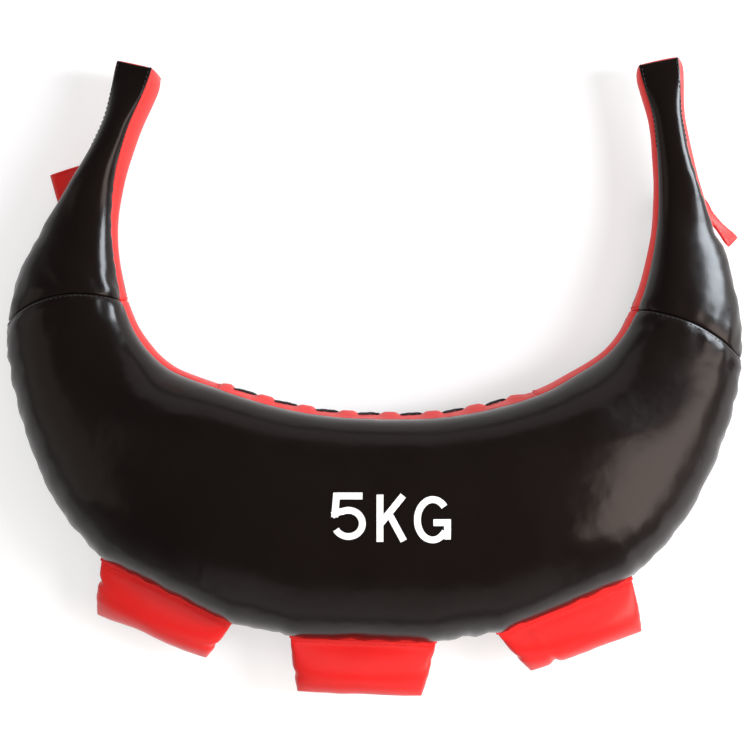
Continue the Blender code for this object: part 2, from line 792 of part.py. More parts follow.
def main():
    clear_scene()
    bag = collection("crescent_training_bag")
    cutters = collection("cutters")
    black, red, cord = black_cover(), red_cover(), lace_cord()
    sand, wad, foam = sand_sack(), textile_wadding(), grip_foam()

    cover_panel("front_belly_panel", belly_places(), "front", black, bag)
    cover_panel("back_belly_panel", belly_places(), "back", black, bag)
    for side, sign in SIDES.items():
        flank = [p for p in belly_places() if p * sign >= MOUTH_HALF - SEAM_GAP]
        cover_panel(f"{side}_belly_strip", flank, "inner", red, bag)
        cover_panel(f"{side}_neck_front_panel", neck_places(side), "front", black, bag)
        cover_panel(f"{side}_neck_back_panel", neck_places(side), "back", black, bag)
        neck_strip(side, red, bag)
        neck_core(side, wad, bag)
        strap(side, red, bag)
    lacing_flap("front_lacing_flap", True, red, bag, cutters)
    lacing_flap("back_lacing_flap", False, red, bag, cutters)
    tongue(red, bag)
    tube("lace", lace_route(), LACE_RADIUS, 2, cord, bag)
    as_object("sand_tube", loft_of(sand_rings(0.0)), sand, bag)
    bed = as_object("sand_bed", loft_of(sand_rings(LAYER_GAP)), sand, cutters)
    bed.hide_render = True
    bed.display_type = "WIRE"
    wadding("front_wadding", True, wad, bag, bed)
    wadding("back_wadding", False, wad, bag, bed)
    for which in GRIP_AT:
        grip(which, red, foam, red, bag)


main()
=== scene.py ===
# %% [markdown]
# A crescent training bag, dressed.
#
# The imported model gives the frame: every piece's place and the bodies that move. This lesson builds
# what the eye sees on it: stuffed covers of coated cloth, sewn seams, a laced mouth and padded grips.
# It starts by loading that frame.

# %% Load the frame
import json
import math

import bmesh
import bpy
import numpy as np
from mathutils import Matrix, Vector, noise
from mathutils.bvhtree import BVHTree

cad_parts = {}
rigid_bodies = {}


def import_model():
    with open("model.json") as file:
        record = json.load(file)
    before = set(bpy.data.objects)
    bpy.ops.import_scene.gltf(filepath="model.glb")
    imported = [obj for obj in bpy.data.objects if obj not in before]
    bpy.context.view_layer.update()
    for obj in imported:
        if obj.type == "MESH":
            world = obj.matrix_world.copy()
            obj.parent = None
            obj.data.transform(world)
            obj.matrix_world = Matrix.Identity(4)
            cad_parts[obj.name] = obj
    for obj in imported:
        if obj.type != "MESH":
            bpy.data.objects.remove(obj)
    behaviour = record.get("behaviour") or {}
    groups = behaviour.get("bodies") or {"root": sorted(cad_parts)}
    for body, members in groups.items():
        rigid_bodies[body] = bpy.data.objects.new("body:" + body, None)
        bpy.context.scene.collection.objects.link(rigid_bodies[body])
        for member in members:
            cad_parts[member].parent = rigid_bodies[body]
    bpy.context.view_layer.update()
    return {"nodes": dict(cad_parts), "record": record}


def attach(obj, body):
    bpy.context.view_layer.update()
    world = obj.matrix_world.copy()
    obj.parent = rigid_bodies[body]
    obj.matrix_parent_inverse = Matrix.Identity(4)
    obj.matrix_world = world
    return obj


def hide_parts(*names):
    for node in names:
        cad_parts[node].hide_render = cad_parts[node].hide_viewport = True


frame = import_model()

# %% [markdown]
# ## The bag's centre line
#
# The real bag is cut flat as a crescent, so its shape is a walk: a gentle arc along the belly, a
# tighter one round each shoulder, and a nearly straight neck. One could trace the outline by hand
# with a Bezier curve. A walk made of arcs is better here, because every seam, wrinkle and stitch can
# then be placed by how far along the bag it lies. These are the sizes that the model was made with.

# %% Sizes of the walk
HALF_LENGTH = 0.550
BELLY_RADIUS = 0.355
BELLY_TURN = math.radians(32)
SHOULDER_RADIUS = 0.138
SHOULDER_TURN = {"left": math.radians(58.5), "right": math.radians(51.7)}
NECK_BEND_LENGTH = 0.100
NECK_TURN = {"left": math.radians(21), "right": math.radians(13.8)}
TIP_BEND_LENGTH = 0.056
TIP_TURN = {"left": math.radians(-8), "right": math.radians(3)}
NECK_TWIST = {"left": math.radians(3), "right": math.radians(-8)}
SIDES = {"left": -1, "right": 1}
WALK_STEP = 0.0005
CLOTH_BEND = 0.070
BEND_SAMPLES = 15
CLOTH_EVENS_OUT = 0.060

# %% Sizes of the section
BELLY_HALF_WIDTH = 0.0918
NECK_HALF_WIDTH = {"left": 0.0138, "right": 0.0145}
TIP_FLARE = 0.005
BELLY_BULGE = 0.053
NECK_BULGE = 0.009
TIP_BULGE = 0.0015
TIP_FLARE_LENGTH = 0.050
BELLY_STRIP_HALF_DEPTH = 0.026
NECK_STRIP_HALF_DEPTH = 0.012
LEFT_TIP_STRIP_GROWTH = 0.007
NECK_MID_HEIGHT = 0.040
FLOOR_FLATTENING = 0.005
HEIGHT_BLEND = 16
FULLNESS = 2.3
BULGE_POWER = 0.8
SEAM_PULL_POWER = 8
TAPER_SHARES = {
    "left": (
        (0.0, 1.0), (0.2, 0.975), (0.35, 0.895), (0.4, 0.795), (0.5, 0.61), (0.6, 0.495),
        (0.7, 0.305), (0.8, 0.09), (0.9, 0.0), (1.0, 0.0),
    ),
    "right": (
        (0.0, 1.0), (0.2, 0.975), (0.32, 0.905), (0.4, 0.785), (0.5, 0.59), (0.6, 0.422),
        (0.7, 0.232), (0.8, 0.06), (0.9, 0.0), (1.0, 0.0),
    ),
}
OFFSET_SHARES = {
    "left": (
        (0.0, 0.0), (0.14, 0.0), (0.35, 0.002), (0.5, -0.07), (0.64, -0.012), (0.85, -0.028),
        (1.0, -0.036),
    ),
    "right": (
        (0.0, 0.0), (0.14, 0.04), (0.31, 0.07), (0.46, -0.04), (0.64, 0.027), (0.85, 0.006), (1.0, 0.0),
    ),
}

# %% Sizes of the seams
NECK_SEAM_AT = {"left": 0.355, "right": 0.341}
SEAM_RISE = {"left": 0.0048, "right": -0.002}
SEAM_DIP = {"left": 0.0194, "right": 0.028}
SEAM_BOW_REACH = 0.060
OUTER_SEAM_HALF = 0.0002
OUTER_STRIP_GROWS = 0.398
OUTER_STRIP_START = 0.412
OUTER_STRIP_FULL = 0.476
GRIP_HALF_WIDTH = 0.060
GRIP_AT = {"left": -0.1405, "centre": -0.0077, "right": 0.1255}

# %% What the stuffing does to the strip
# Half depth and swell of the inner strip in millimetres, by place: the stuffed cloth draws it narrow
# on the shoulders.
STRIP_HALF_DEPTH_MM = {
    "left": (
        (0.0, 26.0), (0.15, 23.0), (0.25, 15.0), (0.36, 13.0), (0.40, 10.5), (0.44, 11.2),
        (0.47, 15.5), (0.50, 18.0), (0.55, 18.0),
    ),
    "right": ((0.0, 26.0), (0.15, 23.0), (0.25, 16.5), (0.35, 12.8), (0.45, 11.2), (0.55, 11.8)),
}
STRIP_SWELL_MM = {
    "left": ((0.0, 1.8), (0.17, 2.6), (0.30, 2.8), (0.42, 2.8), (0.47, 4.0), (0.55, 4.0)),
    "right": ((0.0, 1.8), (0.17, 2.6), (0.30, 2.8), (0.55, 2.6)),
}
# How far the outer band stands out beyond the black panel, and where it reaches its full depth.
OUTER_SWELL_MM = {
    "left": ((0.0, 0.0), (0.405, 0.0), (0.44, 0.8), (0.55, 1.2)),
    "right": ((0.0, 0.0), (0.385, 0.0), (0.412, 3.6), (0.49, 3.4), (0.55, 2.8)),
}
OUTER_BAND_FULL = 0.452
TIP_STRETCH = {"left": 0.0036, "right": 0.0}
TWIST_START = 0.355
TWIST_FULL = 0.475
MILLIMETRE = 0.001
SCALLOP = 0.0011
SCALLOP_PITCH = 0.019
SCALLOP_WIDTH = 0.0032
SCALLOP_FADE = 0.030
SCALLOP_SEED = 11
# How much the scallops differ, as shares of their usual width, depth and pitch.
SCALLOP_WIDTHS = (0.7, 1.5)
SCALLOP_DEPTHS = (0.3, 1.0)
SCALLOP_PITCHES = (0.6, 1.4)

# %% [markdown]
# ## Helpers for smooth change
#
# Cloth has no corners between one size and the next, so each size along the bag is a smooth curve
# through a few chosen shares. A cubic with flat peaks never overshoots them, as a spline might.


# %% Smooth curves
def mix(low, high, share):
    """The value at this share of the way from low to high."""
    return low + (high - low) * share


def ease(value, start, end):
    """A soft step from 0 to 1 between two places."""
    share = np.clip((value - start) / (end - start), 0, 1)
    return share * share * (3 - 2 * share)


def through(table, x):
    """A smooth curve through a table of (place, value), level at its peaks and ends."""
    places, values = (np.array(column) for column in zip(*table))
    slopes = np.diff(values) / np.diff(places)
    before, after = slopes[:-1], slopes[1:]
    same_way = before * after > 0
    total = np.where(same_way, before + after, 1)
    leans = np.concatenate([[0], np.where(same_way, 2 * before * after / total, 0), [0]])
    i = np.clip(np.searchsorted(places, x, side="right") - 1, 0, len(slopes) - 1)
    width = places[i + 1] - places[i]
    t = np.clip((x - places[i]) / width, 0, 1)
    start = (1 + 2 * t) * (1 - t) ** 2 * values[i] + t * (1 - t) ** 2 * width * leans[i]
    end = t * t * (3 - 2 * t) * values[i + 1] - t * t * (1 - t) * width * leans[i + 1]
    return start + end


# %% Walk one arm and keep its table
def arm_table(side):
    """Places from the belly's middle to the tip, with the centre line's point and outward way."""
    arcs = [
        (BELLY_RADIUS * BELLY_TURN, BELLY_TURN),
        (SHOULDER_RADIUS * SHOULDER_TURN[side], SHOULDER_TURN[side]),
        (NECK_BEND_LENGTH, NECK_TURN[side]),
        (0.0, 0.0),
        (TIP_BEND_LENGTH, TIP_TURN[side]),
    ]
    arcs[3] = (HALF_LENGTH - sum(length for length, turn in arcs), 0.0)
    ends = np.cumsum([0] + [length for length, turn in arcs])
    turned = np.cumsum([0] + [turn for length, turn in arcs])
    place = np.arange(0, HALF_LENGTH + WALK_STEP / 2, WALK_STEP)

    def softened(spots):
        reach = np.linspace(-CLOTH_BEND / 2, CLOTH_BEND / 2, BEND_SAMPLES)
        near = spots[:, None] + reach[None, :]
        return (np.sign(near) * np.interp(np.abs(near), ends, turned)).mean(axis=1)

    def evened(values):
        """The average over a short stretch, since stuffed cloth has no kink in its width."""
        reach = int(round(CLOTH_EVENS_OUT / 2 / WALK_STEP))
        padded = np.pad(values, reach, mode="reflect", reflect_type="even")
        padded[-reach:] = values[-1]
        return np.convolve(padded, np.full(2 * reach + 1, 1 / (2 * reach + 1)), mode="valid")

    heading = softened(place)
    halfway = softened(place[:-1] + WALK_STEP / 2)
    x = np.concatenate([[0], np.cumsum(np.cos(halfway) * WALK_STEP)])
    y = np.concatenate([[0], np.cumsum(np.sin(halfway) * WALK_STEP)])
    out_x, out_y = np.sin(heading), -np.cos(heading)
    offset = BELLY_HALF_WIDTH * evened(through(OFFSET_SHARES[side], place / HALF_LENGTH))
    taper = evened(through(TAPER_SHARES[side], place / HALF_LENGTH))
    twist = NECK_TWIST[side] * ease(place, TWIST_START, TWIST_FULL)
    return {
        "place": place, "x": x + out_x * offset, "y": y + out_y * offset,
        "out_x": out_x, "out_y": out_y, "taper": taper, "twist": twist,
    }


def whole_table():
    """Both arms as one table, from the left tip to the right tip."""
    left, right = arm_table("left"), arm_table("right")
    whole = {}
    for name in left:
        sign = -1 if name in ("place", "x", "out_x") else 1
        whole[name] = np.concatenate([sign * left[name][:0:-1], right[name]])
    return whole


walk = whole_table()


def at(name, place):
    """A column of the walk's table at any place."""
    return np.interp(place, walk["place"], walk[name])


print("walk", len(walk["place"]), "places, left tip at", round(walk["x"][0], 3), round(walk["y"][0], 3))

# %% [markdown]
# ## The section
#
# A stuffed bag's section is fat in the belly and slim in the neck. Its front and back bulge between
# two seams, and a narrow strip joins them on the inner side. The curve is a superellipse, a little
# squarer than an ellipse, as cloth under load is. Each size is worked out once for every place.


# %% Sizes along the walk
def grip_seam_ends(which):
    """Places and plan points of the ends of the straight stretch of seam that carries a grip."""
    reach = GRIP_HALF_WIDTH * BELLY_RADIUS / (BELLY_RADIUS + BELLY_HALF_WIDTH)
    places = np.array([GRIP_AT[which] - reach, GRIP_AT[which] + reach])
    edge = at("half_width", places)
    x = at("x", places) + at("out_x", places) * edge
    y = at("y", places) + at("out_y", places) * edge
    return places, x, y


def side_values(values, place):
    """The left or the right value, by the sign of the place."""
    return np.where(place < 0, values["left"], values["right"])


def side_curves(tables, place):
    """A smooth curve through each side's own table, in metres."""
    left, right = (through(tables[side], np.abs(place)) for side in SIDES)
    return np.where(place < 0, left, right) * MILLIMETRE


def scallops(place):
    """How far the outer seam is drawn in by the puckers, at places with an uneven pitch."""
    uneven = np.random.default_rng(SCALLOP_SEED)
    drawn, spot = np.zeros_like(place), -OUTER_STRIP_START
    while spot < OUTER_STRIP_START:
        width = SCALLOP_WIDTH * uneven.uniform(*SCALLOP_WIDTHS)
        depth = SCALLOP * uneven.uniform(*SCALLOP_DEPTHS)
        drawn = np.maximum(drawn, depth * np.exp(-(((place - spot) / width) ** 2)))
        spot += SCALLOP_PITCH * uneven.uniform(*SCALLOP_PITCHES)
    return drawn * (1 - ease(np.abs(place), OUTER_STRIP_GROWS - SCALLOP_FADE, OUTER_STRIP_START))


def tip_share(place):
    """From 0 on the neck to 1 at its tip."""
    return ease(np.abs(place), HALF_LENGTH - TIP_FLARE_LENGTH, HALF_LENGTH)


def fill_table():
    """Adds the section's sizes to the walk, for every place on it."""
    place, taper = walk["place"], walk["taper"]
    near_tip = tip_share(place)
    model_grows = ease(np.abs(place), OUTER_STRIP_GROWS, OUTER_STRIP_FULL)
    band_grows = ease(np.abs(place), OUTER_STRIP_GROWS, OUTER_BAND_FULL)
    neck = side_values(NECK_HALF_WIDTH, place)
    walk["half_width"] = mix(neck, BELLY_HALF_WIDTH, taper) + TIP_FLARE * near_tip
    left_tip = ease(-place, OUTER_STRIP_START, OUTER_STRIP_FULL)
    model_depth = mix(NECK_STRIP_HALF_DEPTH, BELLY_STRIP_HALF_DEPTH, taper) + LEFT_TIP_STRIP_GROWTH * left_tip
    walk["inner_depth"] = side_curves(STRIP_HALF_DEPTH_MM, place)
    walk["inner_swell"] = side_curves(STRIP_SWELL_MM, place)
    model_outer = mix(OUTER_SEAM_HALF, NECK_STRIP_HALF_DEPTH, model_grows)
    walk["outer_depth"] = mix(OUTER_SEAM_HALF, NECK_STRIP_HALF_DEPTH, band_grows)
    full = mix(NECK_BULGE, BELLY_BULGE, np.maximum(taper, 0) ** BULGE_POWER)
    walk["rise"] = mix(full, TIP_BULGE, near_tip)
    pressed = (model_depth + model_outer) / 2 + walk["rise"] - FLOOR_FLATTENING
    walk["rise"] = walk["rise"] + (model_depth - walk["inner_depth"] + model_outer - walk["outer_depth"]) / 2
    walk["rise"] = np.maximum(walk["rise"], TIP_BULGE)
    walk["height"] = (pressed**HEIGHT_BLEND + NECK_MID_HEIGHT**HEIGHT_BLEND) ** (1 / HEIGHT_BLEND)
    reach = walk["half_width"] - scallops(place)
    walk["outer_natural"] = reach
    for which in GRIP_AT:
        (first, last), (ax, bx), (ay, by) = grip_seam_ends(which)
        inside = (place > first) & (place < last)
        square_x, square_y = ay - by, bx - ax
        ahead = (ax - walk["x"]) * square_x + (ay - walk["y"]) * square_y
        way = walk["out_x"] * square_x + walk["out_y"] * square_y
        reach = np.where(inside, ahead / np.where(inside, way, 1), reach)
    walk["outer_swell"] = side_curves(OUTER_SWELL_MM, place)
    walk["outer_seam"] = reach - walk["outer_swell"]
    walk["outer_natural"] = walk["outer_natural"] - walk["outer_swell"]
    walk["inner_seam"] = walk["half_width"] - walk["inner_swell"]


fill_table()


def bowed(place, share):
    """A place shifted as the neck seam is, which dips towards the belly at its outer end."""
    near = 1 - ease(np.abs(np.abs(place) - side_values(NECK_SEAM_AT, place)), 0, SEAM_BOW_REACH)
    bow = 4 * side_values(SEAM_RISE, place) * share * (1 - share)
    bow = bow - side_values(SEAM_DIP, place) * share**2
    return place + np.sign(place) * near * bow


def put(place, across, up):
    """World points of (across, up) in the sections at these places, never under the floor."""
    twist = at("twist", place)
    turned_across = across * np.cos(twist) + up * np.sin(twist)
    turned_up = up * np.cos(twist) - across * np.sin(twist)
    stretch = side_values(TIP_STRETCH, place) * tip_share(place) * np.sign(place)
    x = at("x", place) + at("out_x", place) * turned_across - at("out_y", place) * stretch
    y = at("y", place) + at("out_y", place) * turned_across + at("out_x", place) * stretch
    return np.stack([x, y, np.maximum(at("height", place) + turned_up, 0)], axis=-1)


def face_point(place, turn, front):
    """World points of the front or back face. turn runs from the inner seam to the outer seam."""
    level = np.cos(np.pi * turn)
    share = (1 - np.sign(level) * np.abs(level) ** (2 / FULLNESS)) / 2
    spot = np.clip(bowed(place, share), -HALF_LENGTH, HALF_LENGTH)
    natural = at("outer_natural", spot)
    straightened = (at("outer_seam", spot) - natural) * share**SEAM_PULL_POWER
    across = mix(-at("inner_seam", spot), natural, share) + straightened
    lift = at("rise", spot) * np.maximum(np.sin(np.pi * turn), 0) ** (2 / FULLNESS)
    up = mix(at("inner_depth", spot), at("outer_depth", spot), share) + lift
    return put(spot, across, up if front else -up)


def strip_point(place, level, inner):
    """World points of a side strip. level runs from 1 at the front seam to -1 at the back seam."""
    spot = bowed(place, 0.0 if inner else 1.0)
    spot = np.clip(spot, -HALF_LENGTH, HALF_LENGTH)
    swell = 1 - level**2
    if inner:
        across = -at("inner_seam", spot) - at("inner_swell", spot) * swell
        return put(spot, across, at("inner_depth", spot) * level)
    across = at("outer_seam", spot) + at("outer_swell", spot) * swell
    return put(spot, across, at("outer_depth", spot) * level)


belly_width, seam_height = 2 * at("half_width", 0.0), at("height", 0.0)
print("belly", round(belly_width * 1000), "mm wide,", round(seam_height * 1000), "mm up to its seam")

# %% [markdown]
# ## Camera
#
# The photograph was taken from straight above, about a metre away. A long lens far off would give
# the same outline but flatter sides. The near camera shows the inner strips, because it looks into
# the crescent from its middle.

# %% Set the camera
CAMERA_HEIGHT = 1.16
CAMERA_AHEAD = 0.1245
FIELD_OF_VIEW = math.radians(31)

lens = bpy.data.cameras.new("photo_camera")
lens.sensor_fit = "HORIZONTAL"
lens.angle = FIELD_OF_VIEW
camera = bpy.data.objects.new("photo_camera", lens)
camera.location = (0, CAMERA_AHEAD, CAMERA_HEIGHT)
bpy.context.scene.collection.objects.link(camera)
bpy.context.scene.camera = camera
print("camera", round(lens.lens, 1), "mm lens")

# %% [markdown]
# ## Light
#
# The black cover shows its shape only by what it mirrors, so the light is planned as reflections. A
# low window behind the right arm draws the long streak down it, and a warm wall lays a broad brown
# sheen on the right of the belly. Wide dim panels in front, behind and on the left fill the shadows.
# The light from above and from the right is crossed, as with the polarising filters that a
# photographer uses on shiny goods: it lights the red cloth, but leaves no mirror image on the black.
# The mirrored window is the reverse, seen in the gloss alone, so it can't burn out the red. The walls
# of the world are pale near the floor and dim above.

# %% Lamps
LAMPS = {
    # name: (place, (width, height), watts, colour)
    "mirrored_window": ((1.32, 0.90, 0.50), (0.85, 0.70), 62.0, (0.80, 0.91, 1.0)),
    "crossed_window": ((1.45, 0.25, 1.15), (0.34, 1.3), 34.0, (0.86, 0.93, 1.0)),
    "right_wall": ((1.75, -0.30, 1.30), (1.5, 1.3), 38.0, (1.0, 0.86, 0.79)),
    "left_panel": ((-2.1, 0.1, 1.1), (2.0, 1.4), 6.0, (1.0, 0.90, 0.82)),
    "front_panel": ((0.0, -2.2, 1.1), (2.6, 1.2), 8.0, (1.0, 0.96, 0.94)),
    "back_panel": ((0.0, 2.5, 1.1), (2.4, 1.2), 8.0, (1.0, 0.96, 0.94)),
    "crossed_overhead": ((0.0, 0.12, 2.6), (2.2, 2.2), 28.0, (1.0, 0.99, 0.98)),
}
LAMP_AIM = Vector((0.0, 0.12, 0.05))


def lamp(name, place, size, watts, colour):
    """An area lamp aimed at the bag. A crossed one gives no gloss, and a mirrored one gives only gloss."""
    light = bpy.data.lights.new(name, "AREA")
    light.shape = "RECTANGLE"
    light.size, light.size_y = size
    light.energy = watts
    light.color = colour
    thing = bpy.data.objects.new(name, light)
    thing.location = place
    thing.rotation_euler = (LAMP_AIM - Vector(place)).to_track_quat("-Z", "Y").to_euler()
    thing.visible_glossy = not name.startswith("crossed")
    thing.visible_diffuse = not name.startswith("mirrored")
    bpy.context.scene.collection.objects.link(thing)
    return thing


for name, (place, size, watts, colour) in LAMPS.items():
    lamp(name, place, size, watts, colour)
print("lamps", len(LAMPS))


# %% Node helpers
WHITE = (1.0, 1.0, 1.0, 1.0)


def feed(tree, node, inputs):
    """Sets a node's inputs, each to a value or to another node's socket."""
    for key, value in inputs.items():
        if isinstance(value, bpy.types.NodeSocket):
            tree.links.new(value, node.inputs[key])
        else:
            node.inputs[key].default_value = value


def add(tree, kind, inputs=None, **settings):
    """One shader node with its settings and its inputs."""
    made = tree.nodes.new(kind)
    for key, value in settings.items():
        setattr(made, key, value)
    feed(tree, made, inputs or {})
    return made


# %% World
WALL_LEVEL = 0.45
CEILING_LEVEL = 0.11
WALL_HEIGHTS = {"From Min": 0.10, "From Max": 0.55}

world = bpy.data.worlds.new("studio")
bpy.context.scene.world = world
world.use_nodes = True
sky = world.node_tree
sky.nodes.clear()
spot = add(sky, "ShaderNodeTexCoord")
split = add(sky, "ShaderNodeSeparateXYZ", {0: spot.outputs["Generated"]})
levels = {"Value": split.outputs["Z"], **WALL_HEIGHTS, "To Min": WALL_LEVEL, "To Max": CEILING_LEVEL}
ramp = add(sky, "ShaderNodeMapRange", levels, interpolation_type="SMOOTHSTEP")
glow = add(sky, "ShaderNodeBackground", {"Color": WHITE, "Strength": ramp.outputs[0]})
add(sky, "ShaderNodeOutputWorld", {"Surface": glow.outputs[0]})
bpy.context.scene.view_settings.view_transform = "Standard"
print("walls", WALL_LEVEL, "and ceiling", CEILING_LEVEL)

# %% [markdown]
# ## Floor
#
# The product photograph has a pure white ground. The floor is white, and adds a little glow to what
# the camera and mirrors see of it, so that it reaches white but keeps the bag's soft shadow. Far from
# the lamps the glow alone carries it, so it grows with distance.

# %% Make the floor
FLOOR_HALF = 60.0
FLOOR_DROP = 0.0006
FLOOR_WHITE = 0.55
FLOOR_GLOW = 0.52
FAR_GLOW = 1.0
GLOW_GROWS = (0.8, 2.6)


def floor_material():
    """White paint, with a glow that only the camera and the mirrors see."""
    made = bpy.data.materials.new("white_floor")
    made.use_nodes = True
    tree = made.node_tree
    tree.nodes.clear()
    rays = add(tree, "ShaderNodeLightPath").outputs
    seen = rays["Is Camera Ray"]
    for kind in ("Is Glossy Ray", "Is Transmission Ray"):
        seen = add(tree, "ShaderNodeMath", {0: seen, 1: rays[kind]}, operation="MAXIMUM").outputs[0]
    where = add(tree, "ShaderNodeTexCoord").outputs["Object"]
    away = add(tree, "ShaderNodeVectorMath", {0: where}, operation="LENGTH").outputs["Value"]
    near, far = GLOW_GROWS
    grows = {"Value": away, "From Min": near, "From Max": far, "To Min": FLOOR_GLOW, "To Max": FAR_GLOW}
    glowing = add(tree, "ShaderNodeMapRange", grows).outputs[0]
    level = add(tree, "ShaderNodeMath", {0: seen, 1: glowing}, operation="MULTIPLY").outputs[0]
    matte = add(tree, "ShaderNodeBsdfDiffuse", {"Color": (FLOOR_WHITE, FLOOR_WHITE, FLOOR_WHITE, 1)})
    glow = add(tree, "ShaderNodeEmission", {"Color": WHITE, "Strength": level})
    both = add(tree, "ShaderNodeAddShader", {0: matte.outputs[0], 1: glow.outputs[0]})
    add(tree, "ShaderNodeOutputMaterial", {"Surface": both.outputs[0]})
    return made


def floor():
    """One big square just under the bag."""
    mesh = bpy.data.meshes.new("floor")
    corners = [(-1, -1), (1, -1), (1, 1), (-1, 1)]
    points = [(x * FLOOR_HALF, y * FLOOR_HALF, -FLOOR_DROP) for x, y in corners]
    mesh.from_pydata(points, [], [(0, 1, 2, 3)])
    mesh.materials.append(floor_material())
    thing = bpy.data.objects.new("floor", mesh)
    bpy.context.scene.collection.objects.link(thing)
    return thing


print(floor().name, round(2 * FLOOR_HALF), "m wide")

# %% [markdown]
# ## Coated cloth
#
# The cover is cloth with a polyurethane coat that imitates leather. It has three scales of detail: a
# fine pebbled grain about a millimetre across, a slow unevenness where the coat is thicker, and dust
# and handling that make some patches duller. An image texture could carry these, but procedural
# noise has no seams and needs no file. The black sheet is glossier than the red one.


# %% Texture helpers
def blank_material(name):
    """A new material with its node tree, its shader, and the socket that gives the place in metres."""
    made = bpy.data.materials.new(name)
    made.use_nodes = True
    tree = made.node_tree
    where = add(tree, "ShaderNodeTexCoord").outputs["Object"]
    return made, tree, tree.nodes["Principled BSDF"], where


def mottle(tree, where, look):
    """Smooth noise from 0 to 1."""
    return add(tree, "ShaderNodeTexNoise", {"Vector": where, **look}).outputs["Fac"]


def blend(tree, share, low, high):
    """A colour between two others, by a share from 0 to 1."""
    both = {"Factor": share, "A": (*low, 1), "B": (*high, 1)}
    return add(tree, "ShaderNodeMix", both, data_type="RGBA").outputs["Result"]


def bumps(tree, strength, depth, height, **under):
    """Fine relief of this depth in metres. It may lie on coarser relief, given as Normal."""
    relief = {"Strength": strength, "Distance": depth, "Height": height, **under}
    return add(tree, "ShaderNodeBump", relief).outputs[0]


def shades(colour, *shares):
    """The colour made darker or lighter by each share."""
    return [[min(part * share, 1) for part in colour] for share in shares]


# %% Coated cloth
WARM_SHINE = (1.0, 0.95, 0.93, 1.0)
COAT_PATCHES = {"Scale": 14.0, "Detail": 5.0, "Roughness": 0.6}
COAT_SMEARS = {"Scale": 160.0, "Detail": 3.0, "Roughness": 0.55}
COAT_WAVES = {"Scale": 34.0, "Detail": 2.0, "Roughness": 0.5}
PATCH_LEVELS = {"From Min": 0.3, "From Max": 0.7}
PATCH_GLOSSIER = 0.04
PATCH_DULLER = 0.06
SMEAR_DULLER = 0.08
WAVE_STRENGTH = 1.0
GRAIN_STRENGTH = 0.5


def coated_cloth(name, colour, dark_colour, roughness, grain_size, grain_depth, wave_depth, shine):
    """Cloth under a coat with patches, smears, slow waves and a pebbled grain."""
    made, tree, shader, where = blank_material(name)
    patches = mottle(tree, where, COAT_PATCHES)
    smears = mottle(tree, where, COAT_SMEARS)
    glossy, dull = roughness - PATCH_GLOSSIER, roughness + PATCH_DULLER
    levels = {"Value": patches, **PATCH_LEVELS, "To Min": glossy, "To Max": dull}
    patchy = add(tree, "ShaderNodeMapRange", levels).outputs[0]
    smeared = add(tree, "ShaderNodeMath", {0: smears, 1: SMEAR_DULLER, 2: patchy}, operation="MULTIPLY_ADD")
    cells = add(tree, "ShaderNodeTexVoronoi", {"Vector": where, "Scale": 1 / grain_size}, feature="SMOOTH_F1")
    wavy = bumps(tree, WAVE_STRENGTH, wave_depth, mottle(tree, where, COAT_WAVES))
    feed(tree, shader, {
        "Base Color": blend(tree, patches, dark_colour, colour),
        "Roughness": smeared.outputs[0],
        "Normal": bumps(tree, GRAIN_STRENGTH, grain_depth, cells.outputs["Distance"], Normal=wavy),
        "Specular IOR Level": shine,
        "Specular Tint": WARM_SHINE,
    })
    return made


black_cloth = coated_cloth(
    "black_coated_cloth", colour=(0.0074, 0.0046, 0.0040), dark_colour=(0.0048, 0.0030, 0.0027),
    roughness=0.17, grain_size=0.0011, grain_depth=0.00007, wave_depth=0.0007, shine=0.19,
)
red_cloth = coated_cloth(
    "red_coated_cloth", colour=(0.79, 0.020, 0.018), dark_colour=(0.66, 0.014, 0.013),
    roughness=0.28, grain_size=0.0010, grain_depth=0.00010, wave_depth=0.0008, shine=0.30,
)
strip_cloth = coated_cloth(
    "red_strip_cloth", colour=(0.92, 0.034, 0.030), dark_colour=(0.82, 0.026, 0.023),
    roughness=0.42, grain_size=0.0010, grain_depth=0.00010, wave_depth=0.0002, shine=0.26,
)
print("coated cloths", [cloth.name for cloth in (black_cloth, red_cloth, strip_cloth)])


# %% Thread, cord and ink
THREAD_FUZZ = {"Detail": 4.0, "Roughness": 0.7}
# Shares of the colour: painted shade in the thread's hollows, painted light on its fibres' tops.
THREAD_PAINTED_SHADING = (0.55, 1.35)
THREAD_BUMPS = (0.8, 0.0002)
THREAD_SHEEN = 0.04
THREAD_SHINE = 0.2
INK_SPECKS = {"Scale": 700.0, "Detail": 3.0}
INK_WHITES = {"From Min": 0.25, "From Max": 0.5, "To Min": 0.88, "To Max": 0.99}
INK_BUMPS = (0.4, 0.0001)
INK_ROUGHNESS = 0.5


def thread(name, colour, roughness, fibre_size):
    """Spun thread or cord: fine fibres, with painted shade in their hollows and painted light on their tops.
    """
    made, tree, shader, where = blank_material(name)
    fuzz = mottle(tree, where, {"Scale": 1 / fibre_size, **THREAD_FUZZ})
    feed(tree, shader, {
        "Base Color": blend(tree, fuzz, *shades(colour, *THREAD_PAINTED_SHADING)),
        "Roughness": roughness,
        "Normal": bumps(tree, *THREAD_BUMPS, fuzz),
        "Sheen Weight": THREAD_SHEEN,
        "Specular IOR Level": THREAD_SHINE,
    })
    return made


def printed_ink():
    """White screen print: nearly even, a little thin where the grain pushes through."""
    made, tree, shader, where = blank_material("white_print")
    specks = mottle(tree, where, INK_SPECKS)
    feed(tree, shader, {
        "Base Color": add(tree, "ShaderNodeMapRange", {"Value": specks, **INK_WHITES}).outputs[0],
        "Roughness": INK_ROUGHNESS,
        "Normal": bumps(tree, *INK_BUMPS, specks),
    })
    return made


